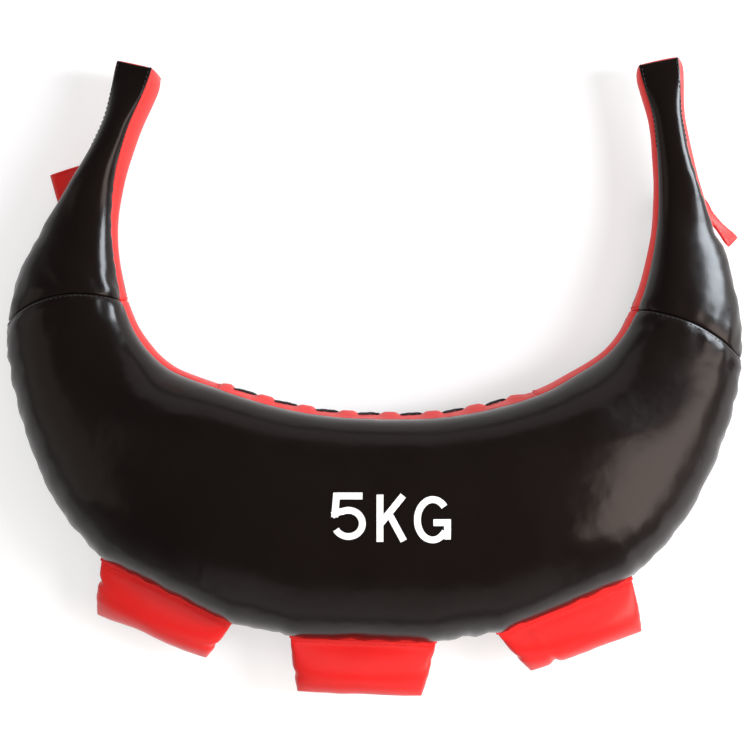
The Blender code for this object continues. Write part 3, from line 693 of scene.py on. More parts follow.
black_thread = thread("black_thread", (0.016, 0.014, 0.014), roughness=0.6, fibre_size=0.0009)
red_thread = thread("red_thread", (0.70, 0.022, 0.020), roughness=0.6, fibre_size=0.0009)
lace_cotton = thread("black_lace_cotton", (0.012, 0.011, 0.012), roughness=0.8, fibre_size=0.0012)
white_ink = printed_ink()
print("threads and ink", [made.name for made in (black_thread, red_thread, lace_cotton, white_ink)])


# %% Materials of the filling
FELT_TUFTS = {"Detail": 6.0, "Distortion": 1.5}
FELT_FIBRES = {"Detail": 3.0, "Distortion": 3.0}
FIBRES_TO_TUFTS = 0.2
# Shares of the colour: painted shade in the felt's hollows, painted light on its tufts.
FELT_PAINTED_SHADING = (0.7, 1.2)
TUFT_BUMPS = (0.8, 0.0015)
FIBRE_BUMPS = (0.8, 0.0004)
FELT_ROUGHNESS = 0.95
FELT_SHEEN = 0.4
FOAM_PITS = {"From Min": 0.1, "From Max": 0.7}
# Shares of the colour: painted shade in the foam's pits, and its plain colour.
FOAM_PAINTED_SHADING = (0.75, 1.0)
FOAM_BUMPS = (0.9, 0.0005)
FOAM_ROUGHNESS = 0.9
# A wave texture of scale one has a ridge about every 0.31 m.
WAVE_PITCH = 0.31
YARN_WOBBLE = 0.6
# Shares of the colour: painted shade between the yarns, and the yarns' own colour.
WEAVE_PAINTED_SHADING = (0.6, 1.0)
WEAVE_BUMPS = (0.8, 0.0003)
WEAVE_ROUGHNESS = 0.85


def fibre_felt(name, colour, fibre_size):
    """Pressed textile waste: tangled fibres, painted shade in the hollows between the tufts, painted light on
    their tops.
    """
    made, tree, shader, where = blank_material(name)
    tufts = mottle(tree, where, {"Scale": FIBRES_TO_TUFTS / fibre_size, **FELT_TUFTS})
    fibres = mottle(tree, where, {"Scale": 1 / fibre_size, **FELT_FIBRES})
    feed(tree, shader, {
        "Base Color": blend(tree, tufts, *shades(colour, *FELT_PAINTED_SHADING)),
        "Roughness": FELT_ROUGHNESS,
        "Normal": bumps(tree, *FIBRE_BUMPS, fibres, Normal=bumps(tree, *TUFT_BUMPS, tufts)),
        "Sheen Weight": FELT_SHEEN,
    })
    return made


def open_foam(name, colour, cell_size):
    """Upholstery foam: small open cells, with painted shade in their pits."""
    made, tree, shader, where = blank_material(name)
    cells = add(tree, "ShaderNodeTexVoronoi", {"Vector": where, "Scale": 1 / cell_size})
    pits = add(tree, "ShaderNodeMapRange", {"Value": cells.outputs["Distance"], **FOAM_PITS}).outputs[0]
    feed(tree, shader, {
        "Base Color": blend(tree, pits, *shades(colour, *FOAM_PAINTED_SHADING)),
        "Roughness": FOAM_ROUGHNESS,
        "Normal": bumps(tree, *FOAM_BUMPS, pits),
    })
    return made


def sack_weave(name, colour, yarn_size):
    """Plain weave of flat sack yarns, by two crossed wave textures, with painted shade between the yarns."""
    made, tree, shader, where = blank_material(name)
    look = {"Vector": where, "Scale": WAVE_PITCH / (2 * yarn_size), "Distortion": YARN_WOBBLE}
    warp, weft = (add(tree, "ShaderNodeTexWave", look, bands_direction=way).outputs["Fac"] for way in "XZ")
    weave = add(tree, "ShaderNodeMath", {0: warp, 1: weft}, operation="MAXIMUM").outputs[0]
    feed(tree, shader, {
        "Base Color": blend(tree, weave, *shades(colour, *WEAVE_PAINTED_SHADING)),
        "Roughness": WEAVE_ROUGHNESS,
        "Normal": bumps(tree, *WEAVE_BUMPS, weave),
    })
    return made


wadding_felt = fibre_felt("textile_wadding_felt", (0.42, 0.42, 0.44), fibre_size=0.0012)
pad_foam = open_foam("grip_pad_foam", (0.80, 0.78, 0.70), cell_size=0.0014)
sack_cloth = sack_weave("sand_sack_weave", (0.55, 0.50, 0.40), yarn_size=0.0014)
print("materials", len(bpy.data.materials))

# %% [markdown]
# ## From a grid of points to a sewn sheet
#
# Every panel starts as a grid of points on the section's curve. Two things make it look sewn. Its
# edges roll inwards for about two millimetres, since the real sheets are stitched inside out and
# turned. And the cloth between the stitches swells, so the edge is never a clean line. The grid is
# spaced finely near each edge, so that the roll has points to bend at.

# %% Sheet helpers
ROLL = 0.0018
EDGE_STEPS = np.array([0.0, 0.0004, 0.0010, 0.0018, 0.0032])
CLOTH_THICKNESS = 0.0012
TINY = 1e-12


def spaced(start, end, step):
    """Places from start to end about step apart, drawn together near both ends."""
    length = end - start
    count = max(int(round((length - 2 * EDGE_STEPS[-1]) / step)), 2)
    middle = np.linspace(EDGE_STEPS[-1], length - EDGE_STEPS[-1], count + 1)
    return start + np.concatenate([EDGE_STEPS[:-1], middle, length - EDGE_STEPS[-2::-1]])


def sheet_normals(points):
    """Normals of a grid of points, by the cross product of its two directions."""
    along = np.gradient(points, axis=0)
    across = np.gradient(points, axis=1)
    normal = np.cross(along, across)
    return normal / np.maximum(np.linalg.norm(normal, axis=-1, keepdims=True), TINY)


def lengths_along(points, axis):
    """Running length along one axis of a line or a grid of points."""
    steps = np.linalg.norm(np.diff(points, axis=axis), axis=-1)
    start = np.zeros_like(np.take(steps, [0], axis=axis))
    return np.concatenate([start, np.cumsum(steps, axis=axis)], axis=axis)


def rolled_edges(points, normal, sides="nsew"):
    """Turns the named edges of a sheet in, as a quarter round of radius ROLL."""
    down, over = lengths_along(points, 0), lengths_along(points, 1)
    gaps = {"n": down, "s": down[-1:] - down, "w": over, "e": over[:, -1:] - over}
    sink = np.zeros(points.shape[:2])
    for side in sides:
        left = np.clip(ROLL - gaps[side], 0, ROLL)
        sink = np.maximum(sink, ROLL - np.sqrt(ROLL**2 - left**2))
    return points - normal * sink[..., None]


def quads_of(index):
    """The four corners of each cell in a grid of point numbers."""
    corners = [index[:-1, :-1], index[:-1, 1:], index[1:, 1:], index[1:, :-1]]
    return np.stack(corners, axis=-1).reshape(-1, 4)


def collection_of(name):
    """A new collection in the scene."""
    made = bpy.data.collections.new(name)
    bpy.context.scene.collection.children.link(made)
    return made


dressed = collection_of("dressed_bag")


def smooth_mesh(name, points, faces, material):
    """A mesh with smooth shading and one material."""
    mesh = bpy.data.meshes.new(name)
    mesh.from_pydata([tuple(point) for point in points], [], faces)
    mesh.materials.append(material)
    mesh.shade_smooth()
    return mesh


def piece(name, mesh, body, nodes=()):
    """Puts a mesh on the bag: it rides with a body and stands for CAD nodes."""
    thing = bpy.data.objects.new(name, mesh)
    dressed.objects.link(thing)
    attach(thing, body)
    if nodes:
        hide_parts(*nodes)
    return thing


def sheet(name, points, normal, material, body, nodes=(), thickness=CLOTH_THICKNESS):
    """A piece of cloth from a grid of points, with its thickness on the side away from the normals."""
    rows, columns = points.shape[:2]
    index = np.arange(rows * columns).reshape(rows, columns)
    quads = quads_of(index)
    if (sheet_normals(points) * normal).sum() > 0:
        quads = quads[:, ::-1]
    mesh = smooth_mesh(name, points.reshape(-1, 3), quads.tolist(), material)
    thing = piece(name, mesh, body, nodes)
    thick = thing.modifiers.new("thickness", "SOLIDIFY")
    thick.thickness = thickness
    thick.offset = -1
    return thing


# %% [markdown]
# ## Wrinkles
#
# A sewn bag that is stuffed hard puckers along its outer seam, because a curved edge is eased onto
# its neighbour. Each wrinkle is a narrow valley that starts at the seam, runs inwards a few
# centimetres and fades. Between two valleys the cloth swells. Noise alone would look like crumpled
# paper, so each wrinkle is placed, with its own width, length and slant from a seeded random source.

# %% Wrinkle helpers
WRINKLE_SEED = 5
# How much the wrinkles of a seam differ, as shares of its usual width, length, strength and spacing.
WRINKLE_WIDTHS = (0.7, 1.4)
WRINKLE_LENGTHS = (0.4, 1.5)
WRINKLE_STRENGTHS = (0.55, 1.0)
WRINKLE_SPACINGS = (0.6, 1.5)
WRINKLE_SLANT = 0.25
WRINKLE_OPENS = 1.2
WRINKLE_FADES_FROM = 0.15
NOISE_SHIFT = (7.3, 3.1, 1.7)

random = np.random.default_rng(WRINKLE_SEED)


def valleys(start, end, spacing, width, length, slant=WRINKLE_SLANT):
    """Wrinkles along a seam: their place, half width, length, slant and strength."""
    made, spot = [], start
    while spot < end:
        made.append((
            spot,
            width * random.uniform(*WRINKLE_WIDTHS),
            length * random.uniform(*WRINKLE_LENGTHS),
            random.normal(0, slant),
            random.uniform(*WRINKLE_STRENGTHS),
        ))
        spot += spacing * random.uniform(*WRINKLE_SPACINGS)
    return made


def valley_share(wrinkles, along, inwards):
    """How far into a valley each point lies, from 0 on the swell to 1 in the deepest line."""
    depth = np.zeros_like(along)
    for spot, width, length, slant, strength in wrinkles:
        widened = width * (1 + WRINKLE_OPENS * inwards / length)
        bell = np.exp(-(((along - spot - slant * inwards) / widened) ** 2))
        fade = 1 - ease(inwards, WRINKLE_FADES_FROM * length, length)
        depth = np.maximum(depth, strength * bell * fade)
    return depth


def waves(points, size, seed):
    """Smooth noise from -1 to 1 at each point, with bumps about this size."""
    shift = Vector([seed * step for step in NOISE_SHIFT])
    flat = [noise.noise(Vector(point) / size + shift) for point in points.reshape(-1, 3)]
    return np.array(flat).reshape(points.shape[:-1])


# %% [markdown]
# ## The black panels
#
# Front and back are each three pieces of black cloth: the belly and two necks, joined by a bowed
# cross seam. The front belly is the big smooth form in the photograph. Its shape comes from the
# section, and the sewing adds the rest: swells along the outer seam, creases that run from the
# cross seams, a ripple on the necks and slow unevenness from the stuffing.

# %% Panel grids
ROW_STEP = 0.0042
PANEL_COLUMNS = 46
FULL_EDGE_WIDTH = 0.030
FINE_TURNS = np.linspace(0, 1, 241)


def cloth_run(place, front):
    """Running length along the cloth from the inner seam, at each of the fine turns."""
    return lengths_along(face_point(np.full_like(FINE_TURNS, place), FINE_TURNS, front), 0)


def even_turns(place, front):
    """Turns from seam to seam, even along the cloth but close together near both seams."""
    run = cloth_run(place, front)
    near = EDGE_STEPS * min(1, run[-1] / FULL_EDGE_WIDTH)
    middle = np.linspace(near[-1], run[-1] - near[-1], PANEL_COLUMNS - 2 * len(near) + 2)
    wanted = np.concatenate([near[:-1], middle, run[-1] - near[-2::-1]])
    return np.interp(wanted, run, FINE_TURNS)


def panel_grid(start, end, front):
    """(points, places) of a panel between two signed places."""
    rows = spaced(start, end, ROW_STEP)
    turns = np.array([even_turns(place, front) for place in rows])
    places = np.repeat(rows[:, None], turns.shape[1], axis=1)
    return face_point(places, turns, front), places


# %% Wrinkles of the panels
OUTER_WRINKLES = {
    True: valleys(-0.40, 0.40, spacing=0.0165, width=0.0030, length=0.034),
    False: valleys(-0.40, 0.40, spacing=0.0160, width=0.0032, length=0.036),
}
CROSS_WRINKLES = {
    side: valleys(0.0, 0.16, spacing=0.021, width=0.0042, length=0.042, slant=0.45) for side in SIDES
}
NECK_WRINKLES = {
    side: valleys(0.375, 0.475, spacing=0.0125, width=0.0030, length=0.016, slant=0.5) for side in SIDES
}
print("wrinkles in front", len(OUTER_WRINKLES[True]), "and behind", len(OUTER_WRINKLES[False]))

# %% Relief of the panels
# Each swell is full at one distance from its seam, and fades over another.
PUFF = 0.0024
PUFF_FULL = 0.010
PUFF_FADE = 0.030
CROSS_PUFF = 0.0020
CROSS_FULL = 0.008
CROSS_FADE = 0.035
NECK_PUFF = 0.0025
NECK_FULL = 0.005
NECK_FADE = 0.016
NECK_PUFF_STARTS = (0.37, 0.39)
NECK_PUFF_ENDS = (0.45, 0.48)
BELLY_ENDS = (0.40, 0.44)
DRAWN_IN = 0.0014
DRAWN_IN_REACH = (0.02, 0.08)
UNEVEN = 0.0014
UNEVEN_FULL = 0.030
UNEVEN_NECK_SHARE = 0.35
# Waves of the stuffing: size, seed and share.
UNEVEN_WAVES = ((0.075, 1, 0.7), (0.035, 2, 0.3))
GRIP_SEAM_FADE = 0.006
GRIP_SEAM_FULL = 0.002


def near_grips(places):
    """One where a grip is sewn to the outer seam, and nought a little way off."""
    share = np.zeros_like(places)
    for which in GRIP_AT:
        first, last = grip_seam_ends(which)[0]
        starts = ease(places, first - GRIP_SEAM_FADE, first + GRIP_SEAM_FULL)
        ends = ease(places, last - GRIP_SEAM_FULL, last + GRIP_SEAM_FADE)
        share = np.maximum(share, starts * (1 - ends))
    return share


def panel_relief(points, places, front):
    """How far the cloth stands out from the section's curve, in metres."""
    over = lengths_along(points, 1)
    from_inner, from_outer = over, over[:, -1:] - over
    away = np.abs(places)
    on_belly = 1 - ease(away, *BELLY_ENDS)
    sewn = ease(from_outer, 0.0, PUFF_FULL) * np.exp(-np.maximum(from_outer - PUFF_FULL, 0) / PUFF_FADE)
    relief = PUFF * sewn * on_belly * (1 - valley_share(OUTER_WRINKLES[front], places, from_outer))
    for side, sign in SIDES.items():
        mine = np.sign(places) == sign
        off_seam = np.abs(NECK_SEAM_AT[side] - away)
        reach = np.exp(-off_seam / CROSS_FADE) * ease(off_seam, 0.0, CROSS_FULL)
        creases = 1 - valley_share(CROSS_WRINKLES[side], from_inner, off_seam)
        relief = relief + np.where(mine, CROSS_PUFF * reach * creases, 0)
        if front:
            edge = from_inner if side == "left" else from_outer
            swell = ease(edge, 0.0, NECK_FULL) * np.exp(-edge / NECK_FADE)
            on_neck = ease(away, *NECK_PUFF_STARTS) * (1 - ease(away, *NECK_PUFF_ENDS))
            ripples = 1 - valley_share(NECK_WRINKLES[side], away, edge)
            relief = relief + np.where(mine, NECK_PUFF * swell * on_neck * ripples, 0)
    free = on_belly * (1 - near_grips(places))
    relief = relief - DRAWN_IN * (1 - ease(from_outer, *DRAWN_IN_REACH)) * free
    calm = ease(np.minimum(from_inner, from_outer), 0.0, UNEVEN_FULL)
    slow = sum(waves(points, size, seed) * share for size, seed, share in UNEVEN_WAVES)
    fullness = mix(UNEVEN_NECK_SHARE, 1.0, at("taper", places))
    return relief + UNEVEN * fullness * calm * slow


# %% Make the black panels
def black_panel(name, start, end, front, nodes):
    """One piece of the black cover between two places, in front or behind."""
    points, places = panel_grid(start, end, front)
    normal = sheet_normals(points)
    middle = normal[normal.shape[0] // 2, normal.shape[1] // 2]
    normal = normal if (middle[2] > 0) == front else -normal
    relief = panel_relief(points, places, front)
    points = rolled_edges(points + normal * relief[..., None], normal)
    points[..., 2] = np.maximum(points[..., 2], 0)
    thing = sheet(name, points, normal, black_cloth, "bag", nodes)
    return thing


belly_ends = (-NECK_SEAM_AT["left"], NECK_SEAM_AT["right"])
front_cover = black_panel("front_belly_cover", *belly_ends, True, ["front_belly_panel"])
black_panel("back_belly_cover", *belly_ends, False, ["back_belly_panel"])
for side, sign in SIDES.items():
    start, end = sorted((sign * NECK_SEAM_AT[side], sign * HALF_LENGTH))
    for front, word in ((True, "front"), (False, "back")):
        black_panel(f"{side}_neck_{word}_cover", start, end, front, [f"{side}_neck_{word}_panel"])
print("front belly", len(front_cover.data.polygons), "faces")

# %% [markdown]
# ## The red strips
#
# A band of red cloth closes the inner side. It has a piece on each flank of the belly, and one long
# piece on each neck, which goes up the inner side, over the tip and down the outer side until it
# runs out in the seam. Cut as one grid it turns the corners of the tip without a break, as the real
# one does. The photograph shows it plain, with a soft swell and a cross seam near each shoulder.

# %% Strip grids
STRIP_COLUMNS = 14
STRIP_HALF_WIDTH = 0.018
STRIP_EDGE_MOST = 0.3
MOUTH_HALF = 0.172


def strip_levels():
    """Levels from the front edge of a strip to its back edge, close together near both."""
    edge = np.minimum(EDGE_STEPS / STRIP_HALF_WIDTH, STRIP_EDGE_MOST)
    middle = np.linspace(edge[-1], 2 - edge[-1], STRIP_COLUMNS)
    return 1 - np.concatenate([edge[:-1], middle, 2 - edge[-2::-1]])


def strip_grid(rows, inner):
    """Points of a strip across its whole width, at these places."""
    levels = strip_levels()
    places = np.repeat(rows[:, None], len(levels), axis=1)
    return strip_point(places, levels[None, :], inner)


def facing(points, normal, way):
    """Normals turned so that they point away from the centre line (way 1) or into the crescent."""
    middle = normal.shape[0] // 2, normal.shape[1] // 2
    spot = points[middle]
    nearest = np.argmin((walk["x"] - spot[0]) ** 2 + (walk["y"] - spot[1]) ** 2)
    out = np.array([walk["out_x"][nearest], walk["out_y"][nearest], 0])
    return normal if np.sign(normal[middle] @ out) == way else -normal


# %% Belly strips
STRIP_SWELL_FULL = 0.007
STRIP_WAVE_SIZE = 0.030
STRIP_WAVE_SEED = 4
STRIP_MEAN = 0.5
STRIP_UNEVEN = 0.6
BELLY_STRIP_SWELL = 0.0009


def strip_relief(points, amount):
    """How far a strip swells between its edges, a little unevenly."""
    over = lengths_along(points, 1)
    inwards = np.minimum(over, over[:, -1:] - over)
    swell = ease(inwards, 0.0, STRIP_SWELL_FULL)
    return amount * swell * (STRIP_MEAN + STRIP_UNEVEN * waves(points, STRIP_WAVE_SIZE, STRIP_WAVE_SEED))


def strip_sheet(name, points, normal, nodes):
    """A red piece of the stuffed cover."""
    thing = sheet(name, points, normal, strip_cloth, "bag", nodes)
    return thing


def belly_strip(side):
    """The piece of strip between the laced part and a neck seam."""
    start, end = sorted((SIDES[side] * MOUTH_HALF, SIDES[side] * NECK_SEAM_AT[side]))
    points = strip_grid(spaced(start, end, ROW_STEP), True)
    normal = facing(points, sheet_normals(points), -1)
    relief = strip_relief(points, BELLY_STRIP_SWELL)
    points = rolled_edges(points + normal * relief[..., None], normal)
    return strip_sheet(f"{side}_belly_strip_cover", points, normal, [f"{side}_belly_strip"])


# %% Neck strips
TIP_CORNER = 0.0035
TIP_SWELL = {"left": 0.0, "right": 0.0012}
TIP_TURNS = np.linspace(0, 1, 19)[1:-1]
ROWS_SPARED_AT_TIP = 4
OUTER_STRIP_ROWS = 36
CORNER_SOFTENINGS = 2
INNER_ROWS = 20
NECK_STRIP_SWELL = 0.0008


def neck_strip(side):
    """Rows of points up the inner side, over the tip and down the outer side."""
    sign = SIDES[side]
    upwards = spaced(NECK_SEAM_AT[side], HALF_LENGTH - TIP_CORNER, ROW_STEP)[:-ROWS_SPARED_AT_TIP]
    downwards = np.linspace(HALF_LENGTH - TIP_CORNER, OUTER_STRIP_START, OUTER_STRIP_ROWS)
    tip = sign * HALF_LENGTH
    front, back = (face_point(tip, TIP_TURNS, way) for way in (True, False))
    levels = strip_levels()
    share = (levels[None, :, None] + 1) / 2
    cap = back[:, None, :] + (front - back)[:, None, :] * share
    beyond = sign * np.array([-at("out_y", tip), at("out_x", tip), 0])
    round_over = np.sin(np.pi * TIP_TURNS)[:, None, None] * (1 - levels**2)[None, :, None]
    cap = cap + beyond * TIP_SWELL[side] * round_over
    return np.concatenate([strip_grid(sign * upwards, True), cap, strip_grid(sign * downwards, False)])


def neck_strip_cover(side):
    """The whole strip of one neck, with its corners softened."""
    points = neck_strip(side)
    for turn in range(CORNER_SOFTENINGS):
        points[1:-1] = points[1:-1] * 0.5 + (points[:-2] + points[2:]) * 0.25
    normal = sheet_normals(points)
    turned = facing(points[:INNER_ROWS], normal[:INNER_ROWS], -1)
    normal = normal * np.sign(turned[0, 0] @ normal[0, 0])
    relief = strip_relief(points, NECK_STRIP_SWELL)
    points = rolled_edges(points + normal * relief[..., None], normal, "nwe")
    return strip_sheet(f"{side}_neck_strip_cover", points, normal, [f"{side}_neck_strip"])


for side in SIDES:
    print(side, "strips", [made.name for made in (belly_strip(side), neck_strip_cover(side))])

# %% [markdown]
# ## The laced mouth
#
# The filling goes in through a slit in the middle of the inner strip. Two flaps of red cloth meet
# there, a tongue behind them keeps the sand in, and a black cord is whipped over the slit and pulled
# tight. Pulling makes the flaps swell between the crossings and sink under the cord, and this is
# what gives the inner edge its scalloped line. So the flaps get their swell from the cord's route.

# %% The flaps and the tongue
MOUTH_GAP = 0.003
LACE_CROSSINGS = 7
LACE_MIDDLE = -0.0067
LACE_END_MARGIN = 0.034
LACE_PITCH = 2 * (MOUTH_HALF - LACE_END_MARGIN) / (LACE_CROSSINGS - 1)
FLAP_FULL = 0.0012
FLAP_SWELL = 0.0019
FLAP_SINK = 0.0008
FLAP_UNEVEN = 0.0005
FLAP_ROW_STEP = 0.0024
FLAP_COLUMNS = 14
FLAP_EDGE = np.array([0, 0.012, 0.04, 0.08, 0.14])
# Where the swelling starts beyond the outer crossings and beside each one, in crossings.
FLAP_STARTS = (-0.85, -0.35)
FLAP_SWELLS = (0.20, 0.40)
# Where it fades, as a share of the way from the mouth to the flap's far seam.
FLAP_FADES = (0.20, 0.95)
TONGUE_DEPTH = 0.0062
TONGUE_END_GAP = 0.005
TONGUE_REACH = 0.8
TONGUE_ROWS = 60
TONGUE_COLUMNS = 8


def flap_relief(places, levels):
    """Drawn flat under each crossing of the cord, and swollen between two of them."""
    last = LACE_CROSSINGS - 1
    phase = (places - LACE_MIDDLE) / LACE_PITCH + last / 2
    inside = ease(phase, *FLAP_STARTS) * ease(last - phase, *FLAP_STARTS)
    from_cord = np.abs(phase - np.round(phase))
    bump = ease(from_cord, *FLAP_SWELLS)
    near_mouth = 1 - ease(np.abs(levels), *FLAP_FADES)
    return inside * near_mouth * (FLAP_FULL + FLAP_SWELL * bump - FLAP_SINK * (1 - bump))


def lacing_flap(front):
    """The flap on one side of the slit, from its far seam to the mouth."""
    word = "front" if front else "back"
    rows = spaced(-MOUTH_HALF, MOUTH_HALF, FLAP_ROW_STEP)
    slit = MOUTH_GAP / 2 / BELLY_STRIP_HALF_DEPTH
    middle = np.linspace(1 - FLAP_EDGE[-1], slit + FLAP_EDGE[-1], FLAP_COLUMNS)
    levels = np.concatenate([1 - FLAP_EDGE[:-1], middle, slit + FLAP_EDGE[-2::-1]])
    levels = levels if front else -levels
    places = np.repeat(rows[:, None], len(levels), axis=1)
    levels = np.repeat(levels[None, :], len(rows), axis=0)
    points = strip_point(places, levels, True)
    normal = facing(points, sheet_normals(points), -1)
    relief = flap_relief(places, levels) + strip_relief(points, FLAP_UNEVEN)
    points = rolled_edges(points + normal * relief[..., None], normal)
    return strip_sheet(f"{word}_lacing_flap_cover", points, normal, [f"{word}_lacing_flap"])


def tongue():
    """A flat piece behind the mouth."""
    end = MOUTH_HALF - TONGUE_END_GAP
    rows = np.linspace(-end, end, TONGUE_ROWS)
    levels = np.linspace(TONGUE_REACH, -TONGUE_REACH, TONGUE_COLUMNS)
    places = np.repeat(rows[:, None], len(levels), axis=1)
    up = levels[None, :] * at("inner_depth", places)
    points = put(places, TONGUE_DEPTH - at("half_width", places), up)
    normal = facing(points, sheet_normals(points), -1)
    return strip_sheet("lacing_tongue_cover", points, normal, ["lacing_tongue"])


print("mouth", [thing.name for thing in (lacing_flap(True), lacing_flap(False), tongue())])

# %% Tubes
TUBE_SIDES = 12


def tube(name, points, radius, material, body, node, strands=0, lay=0.0, strand_depth=0.0):
    """A closed tube along points. With strands, it is a cord that they are twisted into."""
    way = np.gradient(points, axis=0)
    way /= np.linalg.norm(way, axis=1, keepdims=True)
    side = np.cross(way[0], (0.0, 0.0, 1.0))
    run = lengths_along(points, 0)
    verts = []
    for i, point in enumerate(points):
        side = side - way[i] * (side @ way[i])
        side /= np.linalg.norm(side)
        up = np.cross(way[i], side)
        for k in range(TUBE_SIDES):
            angle = 2 * math.pi * k / TUBE_SIDES
            turned = strands * angle - 2 * math.pi * run[i] / lay if strands else 0.0
            reach = radius + strand_depth * math.cos(turned)
            verts.append(point + reach * (math.cos(angle) * side + math.sin(angle) * up))
    faces = ring_faces(0, len(points), TUBE_SIDES)
    return piece(name, smooth_mesh(name, verts, faces, material), body, [node])


def ring_faces(first, rings, sides):
    """Faces between rings of points, and one at each end. first is the number of the first point."""
    faces = []
    for ring in range(rings - 1):
        for k in range(sides):
            a = first + ring * sides + k
            b = first + ring * sides + (k + 1) % sides
            faces.append((a, b, b + sides, a + sides))
    last = first + (rings - 1) * sides
    faces.append(tuple(range(first + sides - 1, first - 1, -1)))
    faces.append(tuple(range(last, last + sides)))
    return faces


# %% The lace
LACE_RADIUS = 0.00112
LACE_STRAND_SINK = 0.0001
LACE_STRAND_DEPTH = 0.00022
LACE_STRANDS = 3
LACE_LAY = 0.011
LACE_HOLE_OFFSET = 0.009
LACE_CLEARANCE = 0.0006
LACE_POINTS = 40
LACE_STEP = 0.0007
# Powers under one square the loop off: it runs straight over the flaps and turns at the holes.
LACE_REACH_POWER = 0.6
LACE_LIFT_POWER = 0.25
LACE_SLANT = 0.48


def lace_points():
    """Over the mouth on a slant, in by a hole, back under the flaps and out again."""
    outside = LACE_RADIUS + FLAP_FULL - FLAP_SINK
    inside = -(CLOTH_THICKNESS + LACE_RADIUS + LACE_CLEARANCE)
    middle, rise = (outside + inside) / 2, (outside - inside) / 2
    angle = 2 * np.pi * np.arange(LACE_CROSSINGS * LACE_POINTS + 1) / LACE_POINTS - np.pi / 2
    swing, level = np.cos(angle), np.sin(angle)
    up = LACE_HOLE_OFFSET * np.sign(swing) * np.abs(swing) ** LACE_REACH_POWER
    lift = middle + rise * np.sign(level) * np.abs(level) ** LACE_LIFT_POWER
    share = (angle - LACE_SLANT * np.sin(2 * angle)) / (2 * np.pi)
    place = LACE_MIDDLE - LACE_PITCH * (LACE_CROSSINGS - 1) / 2 - LACE_PITCH / 4 + LACE_PITCH * share
    depth = at("inner_depth", place)
    swell = at("inner_swell", place)
    across = -at("half_width", place) + swell * (up / depth) ** 2
    surface = put(place, across, up)
    lean = 2 * swell * up / depth**2
    normal = np.stack([-at("out_x", place), -at("out_y", place), lean], axis=-1)
    normal /= np.linalg.norm(normal, axis=1, keepdims=True)
    points = surface + normal * lift[:, None]
    run = lengths_along(points, 0)
    even = np.linspace(0, run[-1], int(run[-1] / LACE_STEP))
    return np.stack([np.interp(even, run, points[:, k]) for k in range(3)], axis=-1)


lace_line = lace_points()
lace = tube("lace_cord", lace_line, LACE_RADIUS - LACE_STRAND_SINK, lace_cotton, "bag", "lace",
            LACE_STRANDS, LACE_LAY, LACE_STRAND_DEPTH)
lace_length = lengths_along(lace_line, 0)[-1]
print("lace", len(lace.data.vertices), "points,", round(lace_length * 1000), "mm along its middle")

# %% [markdown]
# ## The padded grips
#
# A grip is a pouch of red cloth round a foam pad, sewn flat at its sides and caught in the bag's
# outer seam. When a flat pouch is filled, its middle thickens, its sides pull in and its corners stay
# behind as small ears. A formula gives a pillow but no folds. So each pouch starts as a part filled
# pillow, and Blender's cloth solver blows it up with its sewn edge and its corners pinned. The two
# layers lie flat up to the row of stitches. The edge starts inside the piping, so that no light shows
# between them.

# %% Sizes of a grip
GRIP_DROOP = {"left": math.radians(32), "centre": math.radians(14), "right": math.radians(24)}
GRIP_HALF_THICKNESS = 0.013
GRIP_START = 0.0005
GRIP_SIDE_SWELL = 0.0014
GRIP_END_SWELL = 0.0006
GRIP_PUCKER = 0.0007
GRIP_CELL = 0.0024
GRIP_LAYER = 0.0007
GRIP_FLAT_SHARE = 0.10
GRIP_PRESSURE = 5.0
# The part filled pillow: its share of the full thickness, and powers that make its sides steep.
POUCH_FILL = 0.85
POUCH_END_POWER = 1.1
POUCH_CROWN_POWER = 0.7
POUCH_SIDE_POWER = 0.33
# The two lower corners of each pouch as (along the seam, away from it), in millimetres. The first is
# the one on the photograph's right.
GRIP_CORNERS_MM = {
    "left": ((-51.5, 49.0), (48.0, 59.5)),
    "centre": ((-50.0, 49.5), (53.0, 49.5)),
    "right": ((-54.5, 54.0), (44.5, 48.5)),
}
# Tucks in the pouch's edges: the edge, where along it from 0 to 1, how deep in metres, and how wide as
# a share of the edge.
GRIP_TUCKS = {
    "left": (("last", 0.34, 0.0034, 0.05), ("first", 0.58, 0.0030, 0.06), ("end", 0.62, 0.0035, 0.20)),
    "centre": (("last", 0.62, 0.0012, 0.06), ("first", 0.30, 0.0012, 0.05)),
    "right": (("end", 0.77, 0.0046, 0.030), ("last", 0.55, 0.0016, 0.05), ("end", 0.35, 0.0012, 0.20)),
}
GRIP_FRAMES = 16
GRIP_CAP = 0.005
PUCKERS_ALONG_EDGE = 9
PUCKER_SEEDS = {"first": 5, "last": 4, "end": 3}
PUCKER_GRIP_SEED = 50
PUCKER_MEAN = 0.5
CLOTH_SETTINGS = {
    "quality": 6,
    "mass": 0.3,
    "tension_stiffness": 25,
    "compression_stiffness": 25,
    "shear_stiffness": 12,
    "bending_stiffness": 3.0,
    "vertex_group_mass": "sewn",
    "use_pressure": True,
    "uniform_pressure_force": GRIP_PRESSURE,
}

joints = {joint["name"]: joint for joint in frame["record"]["behaviour"]["joints"]}

# %% Pouches
def grip_frame(which):
    """(hinge point, width, outward, upward) of a grip at its droop."""
    joint = joints[f"{which}_grip_hinge"]
    width = Vector(joint["axis"]).normalized()
    out = Vector((0, 0, 1)).cross(width).normalized()
    droop = Matrix.Rotation(-GRIP_DROOP[which], 3, width)
    return Vector(joint["pos_m"]), width, droop @ out, droop @ width.cross(out)


def tucked(which, edge, along):
    """How far a pouch's edge is drawn in by its tucks and small puckers."""
    grip_seed = GRIP_AT[which] * PUCKER_GRIP_SEED
    spots = [Vector((PUCKERS_ALONG_EDGE * x, PUCKER_SEEDS[edge], grip_seed)) for x in along.ravel()]
    puckers = np.array([PUCKER_MEAN + noise.noise(spot) for spot in spots]).reshape(along.shape)
    drawn = GRIP_PUCKER * puckers * np.sin(np.pi * along)
    for name, where, depth, width in GRIP_TUCKS[which]:
        if name == edge:
            drawn = drawn + depth * np.exp(-(((along - where) / width) ** 2))
    return drawn


